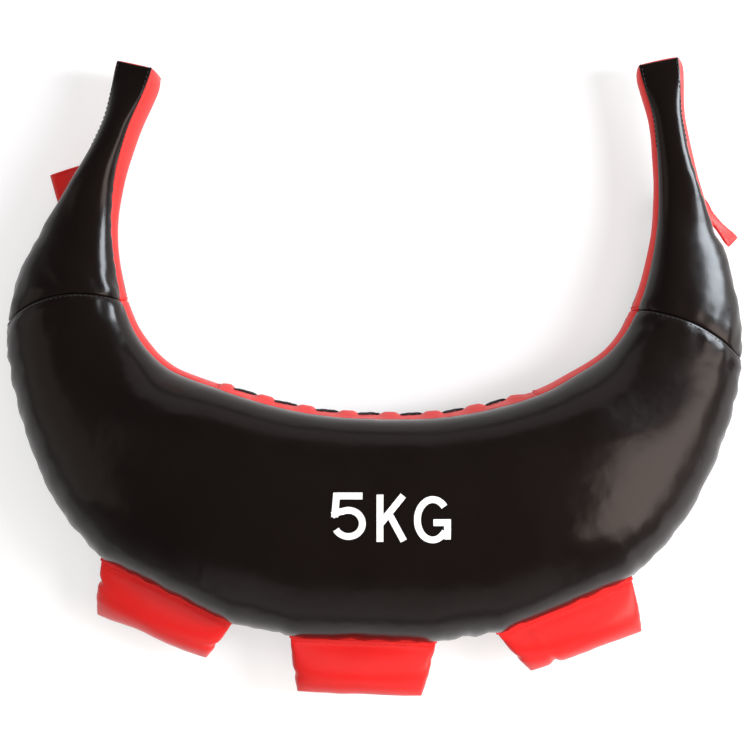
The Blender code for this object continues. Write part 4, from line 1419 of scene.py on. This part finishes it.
def flat_pouch(which):
    """Two layers of cloth that share their four edges, part filled, in (u, r, h)."""
    first, last = (np.array(corner) * MILLIMETRE for corner in GRIP_CORNERS_MM[which])
    columns = int(round(2 * GRIP_HALF_WIDTH / GRIP_CELL))
    rows = int(round(last[1] / GRIP_CELL))
    p = np.linspace(0, 1, columns + 1)[:, None]
    v = np.linspace(0, 1, rows + 1)[None, :]
    swell = GRIP_SIDE_SWELL * np.sin(np.pi * v)
    first_side = mix(-GRIP_HALF_WIDTH, first[0], v) - swell + tucked(which, "first", v)
    last_side = mix(GRIP_HALF_WIDTH, last[0], v) + swell - tucked(which, "last", v)
    end = mix(first[1], last[1], p) + GRIP_END_SWELL * 4 * p * (1 - p) - tucked(which, "end", p)
    u = mix(first_side, last_side, p)
    r = GRIP_START + v * (end - GRIP_START)
    lifted = np.clip((v - GRIP_FLAT_SHARE) / (1 - GRIP_FLAT_SHARE), 0, 1)
    crown = np.sin(np.pi * lifted**POUCH_END_POWER) ** POUCH_CROWN_POWER
    h = POUCH_FILL * GRIP_HALF_THICKNESS * crown * (4 * p * (1 - p)) ** POUCH_SIDE_POWER
    rim = np.zeros(h.shape, dtype=bool)
    rim[0], rim[-1], rim[:, 0], rim[:, -1] = True, True, True, True
    top = np.stack([u, r, np.where(rim, 0, np.maximum(h, GRIP_LAYER))], axis=-1)
    count = rim.size
    upper = np.arange(count).reshape(rim.shape)
    lower = upper.copy()
    lower[~rim] = count + np.arange((~rim).sum())
    under = top[~rim] * (1, 1, -1)
    faces = []
    for grid, order in ((upper, -1), (lower, 1)):
        faces += quads_of(grid)[:, ::order].tolist()
    name = f"{which}_grip_pouch"
    mesh = bpy.data.meshes.new(name)
    mesh.from_pydata(np.concatenate([top.reshape(-1, 3), under]).tolist(), [], faces)
    thing = bpy.data.objects.new(name, mesh)
    dressed.objects.link(thing)
    flat = int(GRIP_FLAT_SHARE * rows) + 1
    sewn = [upper[:, :flat].ravel(), lower[:, :flat].ravel()]
    held = np.concatenate([*sewn, upper[:2, -1], upper[-2:, -1], upper[[0, -1], -2]])
    return thing, held


def point_array(mesh):
    """The mesh's points as rows of three."""
    flat = np.empty(len(mesh.vertices) * 3)
    mesh.vertices.foreach_get("co", flat)
    return flat.reshape(-1, 3)


def blown_up(thing, pinned):
    """Runs cloth with pressure on a pouch and gives back where its points end."""
    start = point_array(thing.data)
    group = thing.vertex_groups.new(name="sewn")
    group.add([int(i) for i in pinned], 1.0, "REPLACE")
    cloth = thing.modifiers.new("cloth", "CLOTH")
    for key, value in CLOTH_SETTINGS.items():
        setattr(cloth.settings, key, value)
    cloth.settings.effector_weights.gravity = 0
    cloth.collision_settings.use_collision = False
    scene = bpy.context.scene
    for step in range(1, GRIP_FRAMES + 1):
        scene.frame_set(step)
    moved = thing.evaluated_get(bpy.context.evaluated_depsgraph_get())
    end = point_array(moved.to_mesh())
    moved.to_mesh_clear()
    thing.modifiers.remove(cloth)
    thing.vertex_groups.remove(group)
    scene.frame_set(1)
    shift = end - start
    length = np.linalg.norm(shift, axis=1, keepdims=True)
    return start + shift * np.minimum(1, GRIP_CAP / np.maximum(length, TINY))


def grip_cover(which):
    """A pouch, blown up and turned to its droop."""
    thing, held = flat_pouch(which)
    points = blown_up(thing, held)
    points[:, 2] *= GRIP_HALF_THICKNESS / np.abs(points[:, 2]).max()
    print(which, "grip pouch is", np.round(np.ptp(points, axis=0) * 1000, 1), "mm")
    hinge, width, outward, upward = grip_frame(which)
    points = points @ np.array([width, outward, upward]) + np.array(hinge)
    thing.data.vertices.foreach_set("co", points.ravel())
    thing.data.update()
    thing.data.materials.append(red_cloth)
    thing.data.shade_smooth()
    smooth = thing.modifiers.new("smooth", "SUBSURF")
    smooth.levels = smooth.render_levels = 1
    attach(thing, f"{which}_grip")
    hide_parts(f"{which}_grip_cover")
    return thing


# %% Grips and their piping
PIPING_RADIUS = 0.0018
PIPING_INSET = 0.0004
PIPING_POINTS = 90
PIPING_WOBBLE = 0.0004
PIPING_WAVES = 60
PIPING_SEEDS = (40, 0.3)


def grip_piping(which):
    """The folded edge of red cloth that is caught in the bag's seam above each grip."""
    hinge, width, outward, upward = grip_frame(which)
    reach = np.linspace(-GRIP_HALF_WIDTH, GRIP_HALF_WIDTH, PIPING_POINTS)
    grip_seed, seed = GRIP_AT[which] * PIPING_SEEDS[0], PIPING_SEEDS[1]
    wobble = np.array([noise.noise(Vector((x * PIPING_WAVES, grip_seed, seed))) for x in reach])
    wobble = wobble * PIPING_WOBBLE
    middle = np.array(hinge) - PIPING_INSET * np.array(outward)
    line = middle + reach[:, None] * np.array(width) + wobble[:, None] * np.array(upward)
    return tube(f"{which}_grip_piping", line, PIPING_RADIUS, red_cloth, "bag",
                f"{which}_grip_welt")


for which in GRIP_AT:
    grip_cover(which)
    grip_piping(which)

# %% [markdown]
# ## The strap loops
#
# Behind each neck a band of red cloth is folded double and sewn down by its two ends. It is flat
# webbing, which a cloth solver would only crumple, so it is bent: out, round a tight fold and back.
# The right one is turned on its edge, as in the photograph.

# %% Sizes of the strap loops
STRAP_HALF_WIDTH = {"left": 0.0130, "right": 0.0092}
STRAP_LENGTH = {"left": 0.0475, "right": 0.0464}
STRAP_HALF_THICKNESS = {"left": 0.0030, "right": 0.0011}
STRAP_EDGE = {"left": 0.0016, "right": 0.0008}
STRAP_TWIST = {"left": 0.0, "right": math.radians(60)}
STRAP_END_TWIST = {"left": 0.0, "right": math.radians(46)}
STRAP_LEAN = {"left": math.radians(16), "right": math.radians(35)}
STRAP_SWEEP_START = {"left": -0.008, "right": -0.014}
STRAP_SWEEP_END = {"left": 0.006, "right": 0.0213}
STRAP_START = 0.0006
STRAP_CLOTH = 0.0011
STRAP_ROOT_RADIUS = 0.0016
STRAP_RIPPLE = 0.0003
STRAP_RIPPLES_ALONG = 9
STRAP_RIPPLES_ACROSS = 2.1
STRAP_STEPS = 26
STRAP_COLUMNS = 15
STRAP_ROOT_POINTS = 20
# Where the band turns, turns back and bends, as shares of the way from its root to its fold.
STRAP_TURNS = (0.1, 0.5)
STRAP_TURNS_BACK = (0.65, 1.0)
STRAP_BENDS = (0.0, 0.45)
STRAP_FOLD_FROM = 0.93
STRAP_GAP_POWER = 1.15
STRAP_CROWN_POWER = 0.7


# %% Make the strap loops
def strap_frame(side):
    """(hinge, width, outward, upward) read from the joint and from where the CAD strap lies."""
    joint = joints[f"{side}_strap_hinge"]
    hinge, width = Vector(joint["pos_m"]), Vector(joint["axis"]).normalized()
    node = frame["nodes"][f"{side}_neck_strap"]
    centre = Vector(point_array(node.data).mean(axis=0)) - hinge
    outward = (centre - width * centre.dot(width)).normalized()
    return hinge, width, outward, width.cross(outward)


def strap_layers(side, v):
    """How far each layer of the band lies from its middle: apart at first, together in the fold."""
    edge = STRAP_EDGE[side]
    crown = np.sin(np.pi * np.clip(v, 0, 1) ** STRAP_GAP_POWER) ** STRAP_CROWN_POWER
    half = edge + (STRAP_HALF_THICKNESS[side] - edge) * crown
    return np.where(v > STRAP_FOLD_FROM, half * np.sqrt(np.clip((1 - v) / (1 - STRAP_FOLD_FROM), 0, 1)), half)


def strap_points(side):
    """Points of the band along (width, outward, upward): out, round the fold and back."""
    k = np.arange(2 * STRAP_STEPS + 1)
    v = 1 - np.abs(k - STRAP_STEPS) / STRAP_STEPS
    half = strap_layers(side, v) * np.sign(STRAP_STEPS - k)
    q = np.linspace(-1, 1, STRAP_COLUMNS)
    u = q[:, None] * STRAP_HALF_WIDTH[side]
    angle = ease(v, *STRAP_TURNS) * mix(STRAP_TWIST[side], STRAP_END_TWIST[side], ease(v, *STRAP_TURNS_BACK))
    bent = ease(v, *STRAP_BENDS)
    sweep = bent * mix(STRAP_SWEEP_START[side], STRAP_SWEEP_END[side], v)
    lean = STRAP_LEAN[side] * bent
    ripple = STRAP_RIPPLE * np.sin(STRAP_RIPPLES_ALONG * v[None, :] + STRAP_RIPPLES_ACROSS * q[:, None])
    wide = u * np.cos(angle) - (half + ripple) * np.sin(angle)
    return np.stack([
        wide * np.cos(lean) + SIDES[side] * sweep,
        mix(STRAP_START, STRAP_LENGTH[side], v) - SIDES[side] * wide * np.sin(lean),
        u * np.sin(angle) + (half + ripple) * np.cos(angle),
    ], axis=-1)


def strap_loop(side):
    """The band of one neck with its sewn root. Gives its side, points and normals for the stitches."""
    hinge, width, outward, upward = strap_frame(side)
    points = strap_points(side) @ np.array([width, outward, upward]) + np.array(hinge)
    normal = sheet_normals(points)
    normal = normal if (normal * (points - points.mean(axis=(0, 1)))).sum() > 0 else -normal
    thing = sheet(f"{side}_strap_loop", points, normal, red_cloth, f"{side}_strap",
                  [f"{side}_neck_strap"], STRAP_CLOTH)
    reach = np.linspace(-1, 1, STRAP_ROOT_POINTS)[:, None] * STRAP_HALF_WIDTH[side]
    ends = np.array(hinge) + reach * np.array(width)
    tube(f"{side}_strap_root", ends, STRAP_ROOT_RADIUS, red_cloth, "bag", f"{side}_strap_welt")
    return side, points, normal


strap_rows = [strap_loop(side) for side in SIDES]
print("strap loops", [row[0] for row in strap_rows])

# %% [markdown]
# ## The stuffing
#
# The filling can't be seen on a whole bag, but it carries the cover, and it shows wherever the piece
# is cut or opened. It is textile waste pressed round a sand tube, with foam pads in the grips. Each
# is the model's own form with a finer mesh. Where the stuffed cover lies lower than the model's, the
# filling is pressed in under it, which keeps it from coming through the cloth.

# %% Surface targets
COVER_NAMES = [thing.name for thing in dressed.objects if thing.name.endswith("_cover")]


def surface_of(things):
    """A ray and nearest-point target of the pieces' own surfaces."""
    points, faces = [], []
    for thing in things:
        start = len(points)
        points += [Vector(p) for p in point_array(thing.data)]
        faces += [tuple(start + i for i in face.vertices) for face in thing.data.polygons]
    return BVHTree.FromPolygons(points, faces)


cover_surface = surface_of([bpy.data.objects[name] for name in COVER_NAMES])
print("covers under the stitches", len(COVER_NAMES))

# %% Make the stuffing
STUFFING_EDGE = 0.011
STUFFING_UNDER_COVER = 0.0032
PAD_UNDER_COVER = 0.0012
STUFFING_LUMP = 0.0008
STUFFING_LUMP_SIZE = 0.018
SAME_POINT = 0.00001
MOST_HALVINGS = 4
PRESSINGS = 3


def finer_copy(node_name, longest):
    """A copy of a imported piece's mesh whose long edges are halved, and halved again."""
    bm = bmesh.new()
    bm.from_mesh(frame["nodes"][node_name].data)
    bmesh.ops.remove_doubles(bm, verts=bm.verts, dist=SAME_POINT)
    for turn in range(MOST_HALVINGS):
        long_edges = [edge for edge in bm.edges if edge.calc_length() > longest]
        if not long_edges:
            break
        bmesh.ops.subdivide_edges(bm, edges=long_edges, cuts=1, use_grid_fill=True)
        bmesh.ops.triangulate(bm, faces=bm.faces)
    return bm


def pressed_under(point, target, under):
    """The point itself, or where it lies at the least distance under the cover."""
    for turn in range(PRESSINGS):
        hit, normal, index, away = target.find_nearest(point)
        short = under - (hit - point).dot(normal)
        if short <= 0:
            return point
        point = point - normal * short
    return point


def stuffing(node_name, name, material, body, target=None, under=0.0):
    """A lumpy filling piece in the model's own form, pressed in under a cover where one is given."""
    bm = finer_copy(node_name, STUFFING_EDGE)
    bm.normal_update()
    lump = [noise.noise(v.co / STUFFING_LUMP_SIZE) * STUFFING_LUMP - STUFFING_LUMP for v in bm.verts]
    for v, low in zip(bm.verts, lump):
        v.co += v.normal * low
        if target:
            v.co = pressed_under(v.co.copy(), target, under)
    mesh = bpy.data.meshes.new(name)
    bm.to_mesh(mesh)
    bm.free()
    mesh.materials.append(material)
    mesh.shade_smooth()
    thing = piece(name, mesh, body, [node_name])
    return thing


FELT_PIECES = {
    "front_wadding": "front_wadding_felt",
    "back_wadding": "back_wadding_felt",
    "left_neck_core": "left_neck_felt",
    "right_neck_core": "right_neck_felt",
}
for node_name, name in FELT_PIECES.items():
    stuffing(node_name, name, wadding_felt, "bag", cover_surface, STUFFING_UNDER_COVER)
for which in GRIP_AT:
    pouch = surface_of([bpy.data.objects[f"{which}_grip_pouch"]])
    stuffing(f"{which}_grip_foam", f"{which}_grip_pad", pad_foam, f"{which}_grip",
             pouch, PAD_UNDER_COVER)
sand = stuffing("sand_tube", "sand_tube_sack", sack_cloth, "bag")
print("sand tube", len(sand.data.vertices), "points")

# %% [markdown]
# ## Stitches
#
# The joins are sewn with thick thread, in stitches about three millimetres long that sink into the
# cloth at both ends. A bump in the material could hint at them, but a close view would show it flat.
# So every row is real thread: a chain of small spindles laid on the finished cover.

# %% Stitch rows
STITCH_LENGTH = 0.0030
STITCH_GAP = 0.0010
STITCH_RADIUS = 0.00036
STITCH_SIDES = 6
# A stitch from end to end: share of its length, width and lift, both in thread radii.
STITCH_SHAPE = (
    (0.0, 0.35, -0.9),
    (0.18, 0.9, 0.25),
    (0.5, 1.0, 0.6),
    (0.82, 0.9, 0.25),
    (1.0, 0.35, -0.9),
)


def laid_on(target, points):
    """The nearest points of a surface and its normals there."""
    found = [target.find_nearest(Vector(point))[:2] for point in points]
    return np.array([hit for hit, normal in found]), np.array([normal for hit, normal in found])


def stitch_row(name, points, normals, material, body):
    """Spindles of thread along a line, which follow its normals. Gives how many they are."""
    points, normals = np.asarray(points), np.asarray(normals)
    run = lengths_along(points, 0)
    starts = np.arange(0, run[-1] - STITCH_LENGTH, STITCH_LENGTH + STITCH_GAP)
    verts, faces = [], []
    for start in starts:
        faces += ring_faces(len(verts), len(STITCH_SHAPE), STITCH_SIDES)
        for share, wide, lift in STITCH_SHAPE:
            spot = np.interp(start + share * STITCH_LENGTH, run, np.arange(len(run)))
            low, part = int(spot), spot - int(spot)
            high = min(low + 1, len(points) - 1)
            middle = mix(points[low], points[high], part)
            up = mix(normals[low], normals[high], part)
            way = points[high] - points[max(low - (high == low), 0)]
            across = np.cross(up, way)
            across /= max(np.linalg.norm(across), TINY)
            middle = middle + up * lift * STITCH_RADIUS
            for k in range(STITCH_SIDES):
                angle = 2 * math.pi * k / STITCH_SIDES
                round_about = math.cos(angle) * across + math.sin(angle) * up
                verts.append(middle + STITCH_RADIUS * wide * round_about)
    piece(name, smooth_mesh(name, verts, faces, material), body)
    return len(starts)


# %% Sew the panels
SEAM_ROW_OFF = 0.0026
TIP_ROW_OFF = 0.0030
TIP_ROW_END = 0.478
TIP_ROW_POINTS = 40
NECK_SEAM_TURNS = np.linspace(0.02, 0.98, 160)
STRIP_SEAM_LEVELS = np.linspace(0.9, -0.9, 60)


def turn_from_edge(place, front, distance, inner):
    """The turn at a distance along the cloth from the inner or the outer seam."""
    run = cloth_run(place, front)
    return np.interp(distance if inner else run[-1] - distance, run, FINE_TURNS)


def sew_cover(name, line, thread_look):
    """A row of stitches on the cover, where it lies nearest to a line of points."""
    spots, normals = laid_on(cover_surface, line)
    return stitch_row(name, spots, normals, thread_look, "bag")


def sew_panels():
    """Rows beside the neck seams and along both edges of the tips."""
    count = 0
    for side, sign in SIDES.items():
        for front, word in ((True, "front"), (False, "back")):
            place = sign * (NECK_SEAM_AT[side] - SEAM_ROW_OFF)
            line = face_point(np.full_like(NECK_SEAM_TURNS, place), NECK_SEAM_TURNS, front)
            count += sew_cover(f"{side}_{word}_neck_stitches", line, black_thread)
            places = sign * np.linspace(HALF_LENGTH - TIP_ROW_OFF, TIP_ROW_END, TIP_ROW_POINTS)
            for inner, edge in ((True, "inner"), (False, "outer")):
                turns = np.array([turn_from_edge(place, front, TIP_ROW_OFF, inner) for place in places])
                line = face_point(places, turns, front)
                count += sew_cover(f"{side}_{word}_{edge}_tip_stitches", line, black_thread)
    return count


def sew_strips():
    """Rows beside the strip's cross seams, at the neck and at the end of the mouth."""
    count = 0
    for side, sign in SIDES.items():
        for seam, word in ((NECK_SEAM_AT[side], "neck"), (MOUTH_HALF, "mouth")):
            places = np.full_like(STRIP_SEAM_LEVELS, sign * (seam + SEAM_ROW_OFF))
            line = strip_point(places, STRIP_SEAM_LEVELS, True)
            count += sew_cover(f"{side}_{word}_strip_stitches", line, red_thread)
    return count


print("stitches", sew_panels() + sew_strips())


# %% Sew the grips and straps
GRIP_ROW_OFF = 0.0042
GRIP_ROW_SHARES = np.linspace(-0.93, 0.93, 120)
ABOVE_GRIP = 0.05
STRAP_ROW_SHARE = 0.84
STRAP_HEM_SHARE = 0.90
STRAP_ROWS_SPARED = 2


def sew_grip(which):
    """A row along the top of the pouch, in front and behind, where it is caught in the seam."""
    hinge, width, outward, upward = grip_frame(which)
    target = surface_of([bpy.data.objects[f"{which}_grip_pouch"]])
    count = 0
    for way, word in ((1, "front"), (-1, "back")):
        spots = []
        for u in GRIP_ROW_SHARES * GRIP_HALF_WIDTH:
            start = hinge + width * u + outward * GRIP_ROW_OFF + upward * (ABOVE_GRIP * way)
            hit = target.ray_cast(start, -upward * way)[0]
            if hit is not None:
                spots.append(hit)
        normals = [upward * way] * len(spots)
        name = f"{which}_grip_{word}_stitches"
        count += stitch_row(name, spots, normals, red_thread, f"{which}_grip")
    return count


def sew_strap(side, points, normal):
    """Rows along both edges of the folded band, and a hem row beside its fold."""
    across = np.linspace(-1, 1, points.shape[0])
    share = 1 - np.abs(np.arange(points.shape[1]) - STRAP_STEPS) / STRAP_STEPS
    low, high = (np.argmin(np.abs(across - row)) for row in (-STRAP_ROW_SHARE, STRAP_ROW_SHARE))
    last = points.shape[1] - 1
    front = slice(STRAP_ROWS_SPARED, np.argmax(share >= STRAP_HEM_SHARE) + 1)
    back = slice(last - STRAP_ROWS_SPARED, last - front.stop, -1)
    count = 0
    for layer, word in ((front, "front"), (back, "back")):
        hem = layer.stop - 1 if word == "front" else layer.stop + 1
        lines = {"low": (low, layer), "high": (high, layer), "hem": (slice(low, high + 1), hem)}
        for line, where in lines.items():
            name = f"{side}_strap_{word}_{line}_stitches"
            count += stitch_row(name, points[where], normal[where], red_thread, f"{side}_strap")
    return count


print("stitches on the grips", [sew_grip(which) for which in GRIP_AT])
print("stitches on the straps", [sew_strap(*row) for row in strap_rows])

# %% [markdown]
# ## The weight mark
#
# The bag's weight is printed in plain block characters on the front, in white ink. Each character is
# a few strokes of even width. A stroke is a ribbon along its middle line, laid on the cover from
# above and lifted a little over a tenth of a millimetre, which keeps the print sharp at any distance.

# %% Print the weight mark
MARK_HEIGHT = 0.0362
MARK_STROKE = 0.0052
MARK_LIFT = 0.00015
MARK_STEP = 0.0016
MARK_COLUMNS = 5
ARC_POINTS = 26
ABOVE_BAG = 0.3
# Each character's middle and its width, in metres.
MARK_PLACES = {
    "five": (-0.0203, 0.0167, 0.0268),
    "kay": (0.0130, 0.0152, 0.0236),
    "gee": (0.0440, 0.0140, 0.0292),
}


def arc(middle_x, middle_y, radius_x, radius_y, start, end, count=ARC_POINTS):
    """Points of an ellipse between two angles in degrees."""
    turns = np.radians(np.linspace(start, end, count))
    return [(middle_x + radius_x * math.cos(t), middle_y + radius_y * math.sin(t)) for t in turns]


def mark_strokes():
    """Strokes of each character in a box from -0.5 to 0.5 both ways."""
    return {
        "five": [
            [(0.40, 0.43), (-0.42, 0.43)],
            [(-0.33, 0.49), (-0.39, -0.02)],
            [(-0.46, 0.02), (-0.24, 0.10)] + arc(0.0, -0.150, 0.40, 0.280, 116, -152),
        ],
        "kay": [
            [(-0.39, 0.5), (-0.39, -0.5)],
            [(0.36, 0.48), (-0.38, -0.12)],
            [(-0.10, 0.10), (0.38, -0.48)],
        ],
        "gee": [
            arc(0.0, 0.0, 0.40, 0.43, 40, 325, 40),
            [(0.02, -0.06), (0.48, -0.06)],
            [(0.39, -0.06), (0.39, -0.42)],
        ],
    }


def ribbon(path, width_share, height, half):
    """Rows across a stroke's ribbon, evenly spaced along it, in metres."""
    points = np.array(path) * (width_share, height)
    run = lengths_along(points, 0)
    even = np.linspace(0, run[-1], max(int(run[-1] / MARK_STEP), 2))
    line = np.stack([np.interp(even, run, points[:, k]) for k in range(2)], axis=-1)
    way = np.gradient(line, axis=0)
    way /= np.linalg.norm(way, axis=1, keepdims=True)
    square = np.stack([-way[:, 1], way[:, 0]], axis=-1)
    shares = np.linspace(-1, 1, MARK_COLUMNS)
    return line[:, None, :] + square[:, None, :] * (half * shares)[None, :, None]


def print_mark():
    """All strokes as one thin print, laid on the front cover from above."""
    target = surface_of([front_cover])
    down = Vector((0, 0, -1))
    bm = bmesh.new()
    for name, strokes in mark_strokes().items():
        x, y, width = MARK_PLACES[name]
        for path in strokes:
            rows = []
            for line in ribbon(path, width, MARK_HEIGHT, MARK_STROKE / 2):
                hits = [target.ray_cast(Vector((x + px, y + py, ABOVE_BAG)), down)[0] for px, py in line]
                rows.append([bm.verts.new(hit + Vector((0, 0, MARK_LIFT))) for hit in hits])
            for first, second in zip(rows, rows[1:]):
                for k in range(MARK_COLUMNS - 1):
                    bm.faces.new((first[k], first[k + 1], second[k + 1], second[k]))
    bmesh.ops.recalc_face_normals(bm, faces=bm.faces)
    mesh = bpy.data.meshes.new("weight_mark")
    bm.to_mesh(mesh)
    bm.free()
    if sum(face.normal.z for face in mesh.polygons) < 0:
        mesh.flip_normals()
    mesh.materials.append(white_ink)
    return piece("weight_mark", mesh, "bag")


print("print", len(print_mark().data.polygons), "faces")
